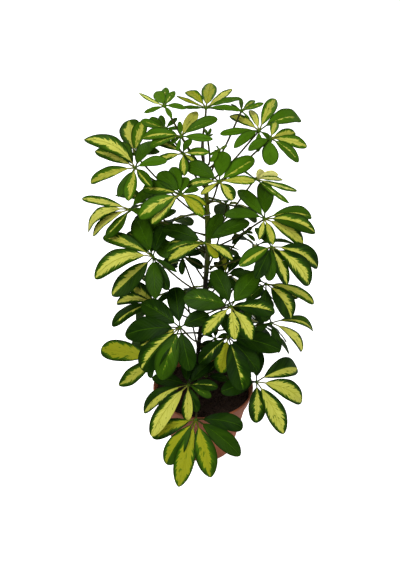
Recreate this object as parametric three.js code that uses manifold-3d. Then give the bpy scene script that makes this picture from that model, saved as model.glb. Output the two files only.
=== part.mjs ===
// Potted umbrella plant: a variegated dwarf umbrella tree, trained up one cane in a tapered pot.
// Millimetres, +Z up. The origin is the middle of the pot's flat underside, and -Y is the front.

import * as THREE from 'three';
import { mergeVertices } from 'three/addons/utils/BufferGeometryUtils.js';
import Module from 'manifold-3d';

const wasm = await Module();
wasm.setup();

const UP = new THREE.Vector3(0, 0, 1);
const GAP = 0.3;

// Pot: a tapered moulded pot with a flared collar, standing on its flat underside.
const POT_SIDES = 32;
const POT_HEIGHT = 142;
const POT_BASE_RADIUS = 59;
const POT_NECK_RADIUS = 86;
const POT_RIM_RADIUS = 95;
const COLLAR_HEIGHT = 24;
const COLLAR_STEP = 3;
const WALL = 3.2;
const FLOOR = 4;
const DRAIN_HOLES = 6;
const DRAIN_RADIUS = 5;
const DRAIN_RING_RADIUS = 38;

// Soil: it fills the pot to a finger's width under the rim, with a lumpy top.
const SOIL_TOP = 129;
const CLOD_HEIGHT = 1.5;
const CLOD_WAVES = [0.19, 0.23, 0.31, -0.27];
const SOIL_RING_SHARES = [0.86, 0.7, 0.52, 0.33, 0.15];
const LUMPY_SHARE = 0.9;

// Main stem: it leans a little, and thickens again where the green leaf bases clothe it. Its radii
// go with shares of its length.
const STEM_SIDES = 8;
const STEM_RADII = [[0, 4.3], [0.55, 3.8], [0.68, 5.4], [0.8, 5.2], [0.9, 3.4], [1, 2.7]];
const STEM_STEPS = 14;
const STEM_COURSE = [
  [-13, 5, 66], [-12, 4, 128], [-9, 2, 224], [2.5, 0, 353],
  [7, 0, 412], [8, 0, 465], [5.5, 0, 521], [4.5, 0, 590],
].map((point) => new THREE.Vector3(...point));
const stemCurve = new THREE.CatmullRomCurve3(STEM_COURSE);

// Support cane: a slim stick that stands close behind the stem, tied to it twice, and goes on
// above it.
const CANE_SIDES = 6;
const CANE_RADIUS = 2;
const CANE_STEPS = 10;
const CANE_COURSE = [
  [-14, 14, 50], [-12, 13, 128], [-8, 11.5, 224], [0.5, 10, 353], [4, 9.5, 430], [3, 9, 520],
  [-1.5, 8.5, 634],
].map((point) => new THREE.Vector3(...point));
const caneCurve = new THREE.CatmullRomCurve3(CANE_COURSE);
const TIE_HEIGHTS = [345, 505];
const TIE_WIDTH = 4;
const TIE_THICKNESS = 1.2;
const TIE_SLACK = 0.3;

// Leaves: leaflets fan out from the end of each leaf stalk.
const STALK_SIDES = 3;
const STALK_RADIUS = 1.5;
const STALK_STEPS = 4;
const HUB_RADII = [3.2, 3, 3.4, 2.8, 3.6, 3.1, 3.3, 2.9];
const SMALLEST_EDGE = 0.05;
const LEAFLET_STALK_SHARE = 0.12;
const LEAFLET_ROOT_HALF_WIDTH = 0.6;
const LEAFLET_STALK_HALF_WIDTH = 1.1;
const LEAFLET_HALF_WIDTH_SHARE = 0.178;
const LEAFLET_THICKNESS = 1.7;
const LEAFLET_ARCH = 0.1;
const LEAFLET_DROOP = 0.12;
const LEAFLET_OUTLINE = [[0.4, 0.9], [0.74, 0.94]];
const STALK_LEAVES_STEM = { along: 0.15, out: 0.15 };
const STALK_MEETS_HUB = { along: 0.24, under: 0.08 };
const SIDEWAYS_TURNS = [0, 0.25, -0.25, 0.5, -0.5, 0.8, -0.8, 1.2, -1.2, 1.7, -1.7];
const LIFTS = [0, 6, -6, 12, -12, 18, -18, 25, -25];
const BENDS = [0, 6, -6, 12, -12, 18, -18, 25, -25, 32, -32, 40, -40, 50, -50];
const SLIMMER = [1, 0.8, 0.6];
const TURNED_TO_EYE = 0.6;
const CLEARANCE = 0.5;
const CROSSING_ALLOWED = 20;
const CROSSING_GAIN = 5;
const LOWEST_LEAF = 2;

// The place that the plant was surveyed from: an eye in front of it and above, looking down.
// A survey mark [across, down] is a direction from that eye, in marks from the view's corner.
const EYE = new THREE.Vector3(-6, -1190, 1106);
const LOOK_DOWN = THREE.MathUtils.degToRad(31.9);
const MARKS_PER_UNIT_SLOPE = 800;
const VIEW_MIDDLE = [200, 285];

// Every surveyed leaf: hub mark, how far the hub is behind the stem's line (y), height of its
// foot on the stem, direction and tilt of its face in degrees, longest leaflet, its leaflets' width
// against the usual width, leaflet tip marks. A tip's third value is how far that leaflet bows, as
// a share of its length, where it isn't the usual arch, and its fourth is its width against the
// leaf's others.
const SURVEYED_LEAVES = [
  ['v', [196, 419.5], -120, 168, -90, 50, 125, 1,
    [[151.5, 436, 0.13], [166.5, 464.5, 0.14, 1.1], [178.5, 487, 0.1, 0.82],
     [211, 477.5, 0.12, 1.05], [240.5, 455.5, 0.1, 0.9], [243, 427, 0.16]]],
  ['u', [188, 385], -85, 190, -100, 45, 100, 1.05,
    [[152, 378], [144, 413, 0.28, 0.7], [151, 436, 0.17, 0.78], [187, 421, 0.1, 0.85], [197, 412],
     [211, 397], [218, 387], [185, 360], [211, 362]]],
  ['s', [180, 327.5], -90, 246, -105, 50, 105, 1.18,
    [[175, 287], [141, 303], [125, 335], [142, 370], [161, 380], [190, 371, 0.1, 1.1],
     [209.5, 315.5, 0.1, 1.3], [140, 346, 0.05]]],
  ['y', [231, 306.5], -90, 318, -85, 50, 90, 1.1,
    [[214, 270, 0.1, 1.15], [183.5, 298, 0.07, 1.2], [203, 335], [235, 340, 0.1, 1.1],
     [252, 340, 0.1, 1.1], [275, 312], [258, 273, 0.1, 1.2]]],
  ['w', [256.5, 382], -60, 180, -50, 45, 105, 1.18,
    [[297, 367.5, 0.18, 0.88], [302, 401.5, 0.16, 0.82], [284, 434, 0.1, 0.88],
     [256, 423, 0.1, 1.1], [254, 345], [221, 392]]],
  ['h', [219, 181.5], -45, 530, -85, 40, 75, 1.12,
    [[224, 151.5, 0.1, 1.35], [254, 158, 0.05, 0.9], [255, 181, 0.05, 0.7],
     [233.5, 200, 0.13, 1.35], [227, 197, 0.1, 0.85], [200.5, 194.5, 0, 0.7], [186, 186, 0.1, 0.7],
     [187, 165, 0.1, 1.1]]],
  ['n', [181, 194.5], -70, 512, -110, 40, 80, 1,
    [[172, 167, 0.1, 1.1], [186, 177, 0.1, 1.4], [158, 173, 0.1, 1.2], [143, 188],
     [139, 217.5, 0.1, 1.1], [151.5, 224], [204, 215.5, 0.1, 1.1], [206, 205, 0.1, 0.9],
     [199, 189]]],
  ['m', [205, 243], -60, 420, -95, 40, 85, 1,
    [[221.5, 213.5, 0.05, 1.1], [249.5, 222, 0.12, 0.9], [162, 229], [167.5, 243.5, 0.1, 0.5],
     [166, 252, 0.1, 0.7], [168, 261, 0.1, 0.8], [218, 258, 0.1, 1.7], [233, 260, 0.15, 0.8]]],
  ['l', [271.5, 247], -50, 402, -60, 45, 95, 1.05,
    [[318, 267, 0.2, 0.85], [309.5, 285, 0.18, 1.05], [287, 285, 0.05, 0.9], [269, 281],
     [239, 266, 0.14], [256, 279, 0.1, 1.15], [255, 228]]],
  ['q', [153, 257], -40, 353, -120, 40, 100, 1.1,
    [[103, 237, 0.14, 0.65], [127, 233, 0.1, 0.7], [136, 218], [165, 226], [94.5, 278, 0.26, 0.85],
     [112, 296, -0.01], [156, 299, 0.1, 1.15], [168, 290, 0.1, 0.8], [177, 272, 0.04, 0.5]]],
  ['aa', [228, 337], -40, 232, -80, 45, 95, 1.1,
    [[199, 364], [221, 373, 0.1, 1.3], [243, 390, 0.1, 1.1], [258, 372], [281, 350], [222, 312]]],
  ['j', [264.5, 219], -30, 440, -55, 40, 90, 1.05,
    [[265, 182, 0.05], [238, 190], [224.5, 215, 0.14, 0.8], [311.5, 216.5, 0.16, 0.7],
     [315.5, 233, 0.15, 0.85], [303, 244, 0.1, 0.85], [273, 245], [259, 240]]],
  ['o', [135, 168], -20, 520, -150, 35, 85, 0.95,
    [[84, 139.5, 0.24, 0.9], [95, 151, 0.1, 0.8], [90.5, 182, 0.08, 0.8], [118, 197, 0.03, 1.1],
     [128.5, 201, 0.05, 1.2], [152, 187, 0.07, 0.85], [120, 143, 0.05, 0.85],
     [152, 141, 0.07, 1.25], [167, 161]]],
  ['p', [130, 209.5], 0, 462, -160, 35, 90, 0.85,
    [[82, 198.5, 0.05, 0.6], [88, 232, 0.24, 0.85], [93, 236, 0.12, 0.8], [106, 237, -0.04, 1.4],
     [150, 218], [158, 188, 0.1, 1.4]]],
  ['g2', [270.5, 138.5], -5, 538, -60, 40, 80, 1,
    [[248, 150.5], [270, 165.5, 0, 1.8], [263, 156, 0], [298.7, 162, 0.09, 0.85],
     [307, 146.4, 0.07, 0.85], [291, 139, 0.03, 0.6], [295.5, 133, 0.07, 0.9], [276, 122]]],
  ['g1', [259, 131], 15, 560, -60, 35, 85, 0.9,
    [[229.5, 116, 0.1, 0.9], [250, 110, 0.1, 0.9], [220, 134, 0.05, 0.6], [233.7, 148, 0.14, 0.9],
     [275.5, 98.8, 0.1, 0.85], [300, 118.5, 0.14, 0.85], [272, 142], [258, 152]]],
  ['d', [181, 136.5], -15, 575, -110, 40, 75, 0.95,
    [[197, 111.5, 0.04, 1.05], [179.5, 121.5, 0], [217.5, 118.5, 0.1, 0.85],
     [213, 139.3, 0.03, 0.85], [142, 138.5, 0.14, 0.85], [150, 147, 0.1, 0.8], [169.5, 144, 0],
     [177, 151, 0]]],
  ['e', [183, 153.5], -10, 550, -110, 45, 65, 0.9,
    [[209.4, 152.5, 0.08], [197, 164, 0.06, 1.1], [184.5, 176, 0.03, 1.3], [155, 162, 0.06, 0.85],
     [152, 140, 0.1, 0.75], [192, 140]]],
  ['a', [206, 108], 0, 590, -90, 20, 75, 0.65,
    [[211, 83, 0.03, 1.5], [185.5, 92, 0.13, 1.2], [176.5, 96, 0, 0.5], [183, 107, 0, 0.8],
     [232, 89, 0.01, 0.75], [241.5, 98.5, 0.06, 0.7], [241, 110.5, 0.06, 0.8],
     [224, 110.5, 0.04, 0.6]]],
  ['b', [164.5, 106], -5, 582, -135, 25, 50, 0.8,
    [[139, 93, -0.04, 0.5], [144, 112.5, 0, 0.9], [156, 91.5, 0.05, 1.3], [165.5, 87.5, 0],
     [174.5, 91, 0.02, 1.3], [186, 109], [172, 118, 0.05]]],
  ['c', [165.5, 128.6], 10, 567, -120, 35, 45, 0.9,
    [[150, 118, 0], [160, 115.5, 0], [177, 118, 0.02], [141, 120.5, 0], [179, 128, 0],
     [155, 134, 0], [177, 136, 0]]],
  ['f', [241.5, 111], 25, 584, -60, 25, 45, 0.6,
    [[241, 98.5, 0], [255, 100.5, 0.05], [263.5, 103, 0], [231, 104, 0], [250, 119, 0]]],
  ['h0', [219, 150], -5, 571, -70, 35, 30, 0.8,
    [[216.5, 145.5, 0], [227, 145.5, 0], [209.5, 155, 0], [214, 150.5, 0], [211, 162, 0]]],
  ['i', [255.5, 179], 20, 468, -50, 40, 80, 0.42,
    [[263, 170, 0.03, 2.4], [278, 174, 0.05, 1.8], [283, 180, 0.05], [297, 191, 0],
     [289.5, 203.5, 0], [241, 169, 0]]],
  ['k', [244.5, 233], 10, 395, -70, 40, 40, 0.85,
    [[232, 244], [253, 233], [241, 227, 0], [252, 227, 0], [255, 241]]],
  ['z', [266, 284], -10, 300, -60, 40, 95, 0.95,
    [[232, 273], [314, 303.5, 0.14, 0.6], [291, 319, 0.2, 1.5], [298, 298], [265, 322, 0.03, 1.15],
     [246, 302]]],
  ['x', [271, 323], -10, 262, -50, 45, 85, 0.85,
    [[313, 331, 0.3, 0.7], [302, 351, 0.2, 0.8], [279, 353, 0.05, 1.2], [250, 335, 0.05],
     [262, 300]]],
  ['r', [156, 303], 0, 286, -150, 45, 85, 1,
    [[132, 286, 0.04], [116.5, 303, 0.16, 0.75], [112, 326, 0.15, 0.85], [136, 320], [172, 294],
     [162, 325]]],
  ['t', [155, 358.5], -20, 206, -150, 45, 110, 1.1,
    [[101, 349, 0.05], [118.5, 385, -0.02, 0.8], [150, 378], [136, 336], [176, 346]]],
  ['o2', [134, 154], 20, 500, -150, 25, 65, 1.1,
    [[129, 120, 0.03], [142.5, 121, 0.03], [114, 152], [160, 152]]],
  ['ba', [226, 275], 12, 335, -70, 40, 75, 1,
    [[214, 262], [222, 250], [240, 256], [246, 272], [237, 292], [222, 300], [208, 286]]],
  ['bb', [250, 302], 30, 276, -50, 40, 75, 1,
    [[240, 282], [263, 288], [274, 305], [263, 324], [245, 326], [231, 312]]],
  ['bc', [206, 376], -38, 176, -85, 35, 80, 1,
    [[188, 362], [204, 350], [219, 360], [228, 380], [183, 376]]],
  ['bd', [160, 335], 30, 262, -140, 40, 80, 1,
    [[138, 320], [152, 310], [172, 314], [178, 340], [154, 360], [135, 346]]],
  ['be', [160, 222], 25, 428, -140, 40, 70, 1,
    [[145, 205], [158, 198], [176, 210], [178, 232], [162, 244], [144, 238]]],
  ['bf', [287, 262], 15, 372, -50, 40, 70, 1,
    [[270, 250], [290, 244], [305, 258], [303, 276], [284, 284], [268, 274]]],
  ['bg', [182, 257], 15, 344, -105, 40, 70, 1.05,
    [[161, 243], [162, 264], [182, 275], [203, 268], [201, 252], [184, 240]]],
  ['bh', [215, 339], -5, 236, -85, 40, 65, 1,
    [[201, 351], [203, 332], [216, 325], [229, 335], [228, 350], [214, 357]]],
  ['bi', [150, 234], 20, 400, -130, 40, 70, 1,
    [[136, 216], [149, 214], [163, 224], [170, 257, 0.1, 1.4], [152, 252], [137, 246]]],
  ['tip', [208, 137], 3, 586, -70, 20, 22, 0.7,
    [[205, 129, 0], [211, 128, 0], [213, 134, 0]]],
].map(([name, hub, behind, foot, faces, tilt, longest, width, tips]) => (
  { name: `leaf_${name}`, hub, behind, foot, faces, tilt, longest, width, tips }
));

// The far side of the plant carries leaves of the same kind, set round the stem by the golden angle.
const FAR_LEAVES = 9;
const FAR_LOWEST = 240;
const FAR_HIGHEST = 515;
const FAR_REACH = 112;
const FAR_TILT = 38;
const FAR_LEAFLETS = 7;
const FAR_LEAFLET_LENGTH = 84;
const FAR_FIRST_TURN = 22;
const FAR_TURNS = 140;
const GOLDEN_SHARE = 0.618;
const FAR_STALK_RISE = 66;
const FAR_LENGTHS = { middle: 0.86, swing: 0.14 };

// Young leaves are paler.
const PALE_LEAVES = ['leaf_b', 'leaf_i', 'leaf_h0', 'leaf_tip'];

// Materials
function finish(color, roughness) {
  return new THREE.MeshStandardMaterial({ color, roughness, metalness: 0, flatShading: true });
}
const terracotta = finish(0x8a4a35, 0.6);
const peat = finish(0x1d120c, 0.95);
const bark = finish(0x3a3020, 0.8);
const bamboo = finish(0x8d8a72, 0.7);
const tieWire = finish(0x9a9c98, 0.5);
const greenLeaf = finish(0x2f5a12, 0.35);
const paleLeaf = finish(0x8fa02c, 0.4);

// Solids
function solidFrom(geometry) {
  const bare = geometry.clone();
  bare.deleteAttribute('normal');
  bare.deleteAttribute('uv');
  const merged = mergeVertices(bare, 1e-4);
  return new wasm.Manifold(new wasm.Mesh({
    numProp: 3,
    vertProperties: new Float32Array(merged.attributes.position.array),
    triVerts: new Uint32Array(merged.index.array),
  }));
}

function largestBody(solid) {
  const bodies = solid.decompose();
  return bodies.reduce((best, body) => (body.volume() > best.volume() ? body : best));
}

// How far a solid's skin stays from needle-thin faces and from corners that almost touch.
function fineness(solid) {
  const { vertProperties, triVerts } = solid.getMesh();
  const corners = [];
  for (let k = 0; k < vertProperties.length; k += 3) {
    corners.push(new THREE.Vector3(vertProperties[k], vertProperties[k + 1], vertProperties[k + 2]));
  }
  let least = Infinity;
  corners.forEach((corner, k) => {
    for (let other = k + 1; other < corners.length; other += 1) {
      least = Math.min(least, corner.distanceTo(corners[other]));
    }
  });
  for (let k = 0; k < triVerts.length; k += 3) {
    const [a, b, c] = [0, 1, 2].map((corner) => corners[triVerts[k + corner]]);
    const longest = Math.max(a.distanceTo(b), b.distanceTo(c), c.distanceTo(a));
    least = Math.min(least, (2 * new THREE.Triangle(a, b, c).getArea()) / longest);
  }
  return least;
}

function meshFrom(name, solid, material) {
  const { vertProperties, triVerts } = solid.getMesh();
  const geometry = new THREE.BufferGeometry();
  geometry.setAttribute('position', new THREE.BufferAttribute(vertProperties, 3));
  geometry.setIndex(new THREE.BufferAttribute(triVerts, 1));
  geometry.computeVertexNormals();
  const mesh = new THREE.Mesh(geometry, material);
  mesh.name = name;
  return mesh;
}

// A skin over rings of points, each ring with the same count, closed at both ends. A ring of one
// point ends the skin in a tip.
function loft(rings) {
  const count = rings[0].length;
  const points = rings.flat();
  const faces = [];
  for (let k = 1; k < count - 1; k += 1) faces.push([0, k, k + 1]);
  for (let r = 0; r < rings.length - 1; r += 1) {
    const here = r * count;
    const next = here + count;
    for (let k = 0; k < count; k += 1) {
      const turn = (k + 1) % count;
      if (rings[r + 1].length === 1) {
        faces.push([here + k, next, here + turn]);
      } else {
        faces.push([here + k, next + k, next + turn], [here + k, next + turn, here + turn]);
      }
    }
  }
  if (rings.at(-1).length === count) {
    const last = (rings.length - 1) * count;
    for (let k = 1; k < count - 1; k += 1) faces.push([last, last + k + 1, last + k]);
  }
  const geometry = new THREE.BufferGeometry().setFromPoints(points);
  geometry.setIndex(faces.flat());
  const solid = solidFrom(geometry);
  if (solid.volume() > 0) return solid;
  geometry.setIndex(faces.map(([a, b, c]) => [a, c, b]).flat());
  return solidFrom(geometry);
}

function ringAround(centre, radius, sides) {
  return Array.from({ length: sides }, (_, k) => {
    const turn = (2 * Math.PI * k) / sides;
    return new THREE.Vector3(Math.cos(turn), Math.sin(turn), 0).multiplyScalar(radius).add(centre);
  });
}

function lathe(profile, sides) {
  const geometry = new THREE.LatheGeometry(profile.map(([r, z]) => new THREE.Vector2(r, z)), sides);
  geometry.rotateX(Math.PI / 2);
  return geometry;
}

// Pot
function innerRadius(height) {
  const neck = POT_HEIGHT - COLLAR_HEIGHT;
  if (height < neck) {
    return THREE.MathUtils.lerp(POT_BASE_RADIUS, POT_NECK_RADIUS, height / neck) - WALL;
  }
  return THREE.MathUtils.lerp(POT_NECK_RADIUS, POT_RIM_RADIUS, (height - neck) / COLLAR_HEIGHT) - WALL;
}

function pot() {
  const neck = POT_HEIGHT - COLLAR_HEIGHT;
  const profile = [
    [0, 0],
    [POT_BASE_RADIUS - 2, 0],
    [POT_BASE_RADIUS, 2],
    [POT_NECK_RADIUS, neck - COLLAR_STEP],
    [POT_NECK_RADIUS + COLLAR_STEP, neck],
    [POT_RIM_RADIUS - 0.5, POT_HEIGHT - 5],
    [POT_RIM_RADIUS, POT_HEIGHT - 2],
    [POT_RIM_RADIUS - WALL / 2, POT_HEIGHT],
    [innerRadius(POT_HEIGHT), POT_HEIGHT - 1.5],
    [innerRadius(neck), neck],
    [innerRadius(FLOOR), FLOOR],
    [0, FLOOR],
  ];
  let solid = solidFrom(lathe(profile, POT_SIDES));
  for (let hole = 0; hole < DRAIN_HOLES; hole += 1) {
    const cutter = new THREE.CylinderGeometry(DRAIN_RADIUS, DRAIN_RADIUS, 4 * FLOOR, 10);
    const turn = (2 * Math.PI * hole) / DRAIN_HOLES;
    cutter.rotateX(Math.PI / 2);
    cutter.translate(Math.cos(turn) * DRAIN_RING_RADIUS, Math.sin(turn) * DRAIN_RING_RADIUS, 0);
    solid = solid.subtract(solidFrom(cutter));
  }
  return meshFrom('pot', solid, terracotta);
}

// Stem and cane
function stemRadius(share) {
  const next = Math.max(1, STEM_RADII.findIndex(([place]) => place >= share));
  const [[from, radius], [to, nextRadius]] = [STEM_RADII[next - 1], STEM_RADII[next]];
  return THREE.MathUtils.mapLinear(share, from, to, radius, nextRadius);
}

function stemSolid(extra) {
  const rings = [];
  for (let step = 0; step <= STEM_STEPS; step += 1) {
    const share = step / STEM_STEPS;
    const centre = stemCurve.getPointAt(share);
    if (step === 0) centre.z -= extra;
    rings.push(ringAround(centre, stemRadius(share) + extra, STEM_SIDES));
  }
  return loft(rings);
}

// The share of a rising curve's length at which it reaches a height.
function shareAt(curve, height) {
  let low = 0;
  let high = 1;
  for (let halving = 0; halving < 24; halving += 1) {
    const middle = (low + high) / 2;
    if (curve.getPointAt(middle).z < height) low = middle;
    else high = middle;
  }
  return low;
}

function stemAt(height) {
  const share = shareAt(stemCurve, height);
  return { centre: stemCurve.getPointAt(share), radius: stemRadius(share) };
}

function caneSolid(extra) {
  const rings = [];
  for (let step = 0; step <= CANE_STEPS; step += 1) {
    const centre = caneCurve.getPointAt(step / CANE_STEPS);
    if (step === 0) centre.z -= extra;
    rings.push(ringAround(centre, CANE_RADIUS + extra, CANE_SIDES));
  }
  return loft(rings);
}

// A tie is a flat band that runs once round the stem and the cane.
function tieSolid(height) {
  const stem = stemAt(height);
  const cane = caneCurve.getPointAt(shareAt(caneCurve, height));
  const along = Math.atan2(cane.y - stem.centre.y, cane.x - stem.centre.x);
  const bandRound = (extra) => {
    const band = new THREE.Path();
    const quarter = Math.PI / 2;
    const round = stem.radius + TIE_SLACK + extra;
    band.absarc(stem.centre.x, stem.centre.y, round, along + quarter, along + 3 * quarter);
    band.absarc(cane.x, cane.y, CANE_RADIUS + extra, along - quarter, along + quarter);
    band.closePath();
    return band.getPoints(3);
  };
  const shape = new THREE.Shape(bandRound(GAP + TIE_THICKNESS));
  shape.holes.push(new THREE.Path(bandRound(GAP)));
  const geometry = new THREE.ExtrudeGeometry(shape, { depth: TIE_WIDTH, bevelEnabled: false });
  geometry.translate(0, 0, height - TIE_WIDTH / 2);
  return solidFrom(geometry);
}

// Soil
function soil() {
  const radius = innerRadius(SOIL_TOP) - GAP;
  const profile = [[0, FLOOR + GAP], [innerRadius(FLOOR) - GAP, FLOOR + GAP]];
  const neck = POT_HEIGHT - COLLAR_HEIGHT;
  profile.push([innerRadius(neck) - GAP, neck], [radius, SOIL_TOP]);
  for (const share of SOIL_RING_SHARES) profile.push([radius * share, SOIL_TOP]);
  profile.push([0, SOIL_TOP]);
  const geometry = lathe(profile, POT_SIDES);
  const place = geometry.attributes.position;
  for (let k = 0; k < place.count; k += 1) {
    const x = place.getX(k);
    const y = place.getY(k);
    const inside = Math.hypot(x, y) < LUMPY_SHARE * radius;
    if (inside && place.getZ(k) > SOIL_TOP - 1) {
      const [a, b, c, d] = CLOD_WAVES;
      const clod = Math.sin(a * x + 1) * Math.cos(b * y) + Math.sin(c * x + d * y);
      place.setZ(k, SOIL_TOP + CLOD_HEIGHT * clod);
    }
  }
  const holed = solidFrom(geometry).subtract(stemSolid(GAP)).subtract(caneSolid(GAP));
  return meshFrom('soil', largestBody(holed), peat);
}

// Leaves
const FORWARD = new THREE.Vector3(0, Math.cos(LOOK_DOWN), -Math.sin(LOOK_DOWN));
const VIEW_UP = new THREE.Vector3(0, Math.sin(LOOK_DOWN), Math.cos(LOOK_DOWN));

function rayThrough([across, down]) {
  return FORWARD.clone()
    .addScaledVector(new THREE.Vector3(1, 0, 0), (across - VIEW_MIDDLE[0]) / MARKS_PER_UNIT_SLOPE)
    .addScaledVector(VIEW_UP, (VIEW_MIDDLE[1] - down) / MARKS_PER_UNIT_SLOPE)
    .normalize();
}

function faceNormal(faces, tilt) {
  const [turn, lean] = [faces, tilt].map(THREE.MathUtils.degToRad);
  return new THREE.Vector3(Math.cos(turn) * Math.sin(lean), Math.sin(turn) * Math.sin(lean), Math.cos(lean));
}

// A surveyed leaf lies in a plane through its hub. Each tip is where the ray through its mark meets
// that plane, lowered by the droop, and no further from the hub than the longest leaflet. The
// blades turn a little towards the light, on the side that they were surveyed from.
function surveyedLeaf({ name, hub, behind, foot, faces, tilt, longest, width, tips }) {
  const hubRay = rayThrough(hub);
  const middle = EYE.clone().addScaledVector(hubRay, (behind - EYE.y) / hubRay.y);
  const normal = faceNormal(faces, tilt);
  const leaflets = tips.map(([across, down, arch = LEAFLET_ARCH, wide = 1]) => {
    const ray = rayThrough([across, down]);
    const nearest = middle.clone().sub(EYE).dot(ray);
    const miss = EYE.clone().addScaledVector(ray, nearest).distanceTo(middle);
    const slack = Math.sqrt(Math.max(longest ** 2 - miss ** 2, 0));
    const plane = (normal.dot(middle.clone().sub(EYE)) - LEAFLET_DROOP * longest) / normal.dot(ray);
    const reach = THREE.MathUtils.clamp(plane, nearest - slack, nearest + slack);
    return { tip: EYE.clone().addScaledVector(ray, reach), bend: ray, arch, wide: wide * width };
  });
  const toEye = EYE.clone().sub(middle).normalize();
  const facing = normal.clone().addScaledVector(toEye, TURNED_TO_EYE).normalize();
  return { name, hub: middle, normal, facing, foot, leaflets };
}

// A far leaf faces away from the front, with its leaflets fanned evenly round its hub.
function farLeaf(index) {
  const share = (index + 0.5) / FAR_LEAVES;
  const turn = THREE.MathUtils.degToRad(FAR_FIRST_TURN + FAR_TURNS * ((index * GOLDEN_SHARE) % 1));
  const height = THREE.MathUtils.lerp(FAR_LOWEST, FAR_HIGHEST, share);
  const hub = new THREE.Vector3(Math.cos(turn) * FAR_REACH, Math.sin(turn) * FAR_REACH, height);
  const normal = faceNormal(THREE.MathUtils.radToDeg(turn), FAR_TILT);
  const out = new THREE.Vector3(Math.cos(turn), Math.sin(turn), 0);
  const ahead = out.addScaledVector(normal, -out.dot(normal)).normalize();
  const side = normal.clone().cross(ahead);
  const leaflets = Array.from({ length: FAR_LEAFLETS }, (_, k) => {
    const angle = (2 * Math.PI * (k + 0.5 * (index % 2))) / FAR_LEAFLETS;
    const length = FAR_LEAFLET_LENGTH * (FAR_LENGTHS.middle + FAR_LENGTHS.swing * Math.cos(angle));
    const tip = hub.clone()
      .addScaledVector(ahead, Math.cos(angle) * length)
      .addScaledVector(side, Math.sin(angle) * length)
      .addScaledVector(normal, -LEAFLET_DROOP * length);
    return { tip, bend: normal, arch: LEAFLET_ARCH, wide: 1 };
  });
  const foot = height - FAR_STALK_RISE;
  return { name: `leaf_far_${index + 1}`, hub, normal, facing: normal, foot, leaflets };
}

// A leaflet is a blade on a short stalk, flat above and keeled below, that bows up from the straight
// line to its tip. With a margin it is the room that the leaflet needs, four-sided so that it holds
// the blade's edges too.
function leafletSolid(hub, tip, facing, { width, arch, margin = 0 }) {
  const chord = tip.clone().sub(hub);
  const length = chord.length();
  const across = facing.clone().cross(chord).normalize();
  const above = chord.clone().cross(across).normalize();
  const bow = facing.clone().add(UP).projectOnPlane(chord.clone().normalize()).normalize();
  const halfWidth = LEAFLET_HALF_WIDTH_SHARE * length * width;
  const stations = [[0, LEAFLET_ROOT_HALF_WIDTH], [LEAFLET_STALK_SHARE, LEAFLET_STALK_HALF_WIDTH]]
    .concat(LEAFLET_OUTLINE.map(([along, wide]) => [along, wide * halfWidth]));
  const point = (along, aside, rise) => hub.clone()
    .addScaledVector(chord, along)
    .addScaledVector(bow, arch * length * 4 * along * (1 - along))
    .addScaledVector(above, rise)
    .addScaledVector(across, aside);
  const rings = stations.map(([along, half]) => {
    if (margin === 0) {
      return [point(along, half, 0), point(along, -half, 0), point(along, 0, -LEAFLET_THICKNESS)];
    }
    const wide = half + margin;
    const deep = -LEAFLET_THICKNESS - margin;
    return [point(along, wide, margin), point(along, -wide, margin), point(along, -wide, deep),
      point(along, wide, deep)];
  });
  rings.push([point(1 + margin / length, 0, 0)]);
  return loft(rings);
}

// A leaf stalk leaves the stem sideways, runs almost straight and ends under its hub.
function stalkSolid(leaf, sideways, lift, margin = 0) {
  const stem = stemAt(leaf.foot + lift);
  const out = leaf.hub.clone().sub(stem.centre).setZ(0).normalize().applyAxisAngle(UP, sideways);
  const foot = stem.centre.clone().addScaledVector(out, stem.radius + GAP);
  const way = leaf.hub.clone().sub(foot);
  const reach = way.length();
  const curve = new THREE.CubicBezierCurve3(
    foot,
    foot.clone().addScaledVector(way, STALK_LEAVES_STEM.along)
      .addScaledVector(out, STALK_LEAVES_STEM.out * reach),
    leaf.hub.clone().addScaledVector(way, -STALK_MEETS_HUB.along)
      .addScaledVector(leaf.normal, -STALK_MEETS_HUB.under * reach),
    leaf.hub.clone(),
  );
  const section = new THREE.Shape(
    Array.from({ length: STALK_SIDES }, (_, k) => {
      const turn = (2 * Math.PI * k) / STALK_SIDES;
      const radius = STALK_RADIUS + 2 * margin;
      return new THREE.Vector2(Math.cos(turn) * radius, Math.sin(turn) * radius);
    }),
  );
  const settings = { steps: STALK_STEPS, extrudePath: curve, bevelEnabled: false };
  return solidFrom(new THREE.ExtrudeGeometry(section, settings));
}

function hubSolid(hub, radius) {
  const geometry = new THREE.OctahedronGeometry(radius);
  geometry.translate(hub.x, hub.y, hub.z);
  return solidFrom(geometry);
}

// What already stands, each with its box, so that most meetings are ruled out at once.
const standing = [];

function stand(owner, solid) {
  const { min, max } = solid.boundingBox();
  const box = new THREE.Box3(new THREE.Vector3(...min), new THREE.Vector3(...max));
  standing.push({ owner, solid, box });
}

function meets(solid, owner) {
  const { min, max } = solid.boundingBox();
  const box = new THREE.Box3(new THREE.Vector3(...min), new THREE.Vector3(...max));
  if (box.min.z < LOWEST_LEAF) return true;
  return standing.some((other) => {
    if (other.owner === owner || !other.box.intersectsBox(box)) return false;
    const shared = other.solid.intersect(solid);
    const touching = !shared.isEmpty();
    shared.delete();
    return touching;
  });
}

// Each stalk takes the first way from the stem in which it is clear of what stands.
function clearStalk(leaf) {
  for (const lift of LIFTS) {
    for (const sideways of SIDEWAYS_TURNS) {
      const stalk = stalkSolid(leaf, sideways, lift);
      const room = stalkSolid(leaf, sideways, lift, CLEARANCE);
      if (meets(stalk, leaf.name) || meets(room, 'stem')) continue;
      leaf.stalk = stalk;
      stand(leaf.name, stalk);
      return;
    }
  }
  throw new Error(`${leaf.name} has no clear way for its stalk`);
}

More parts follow.
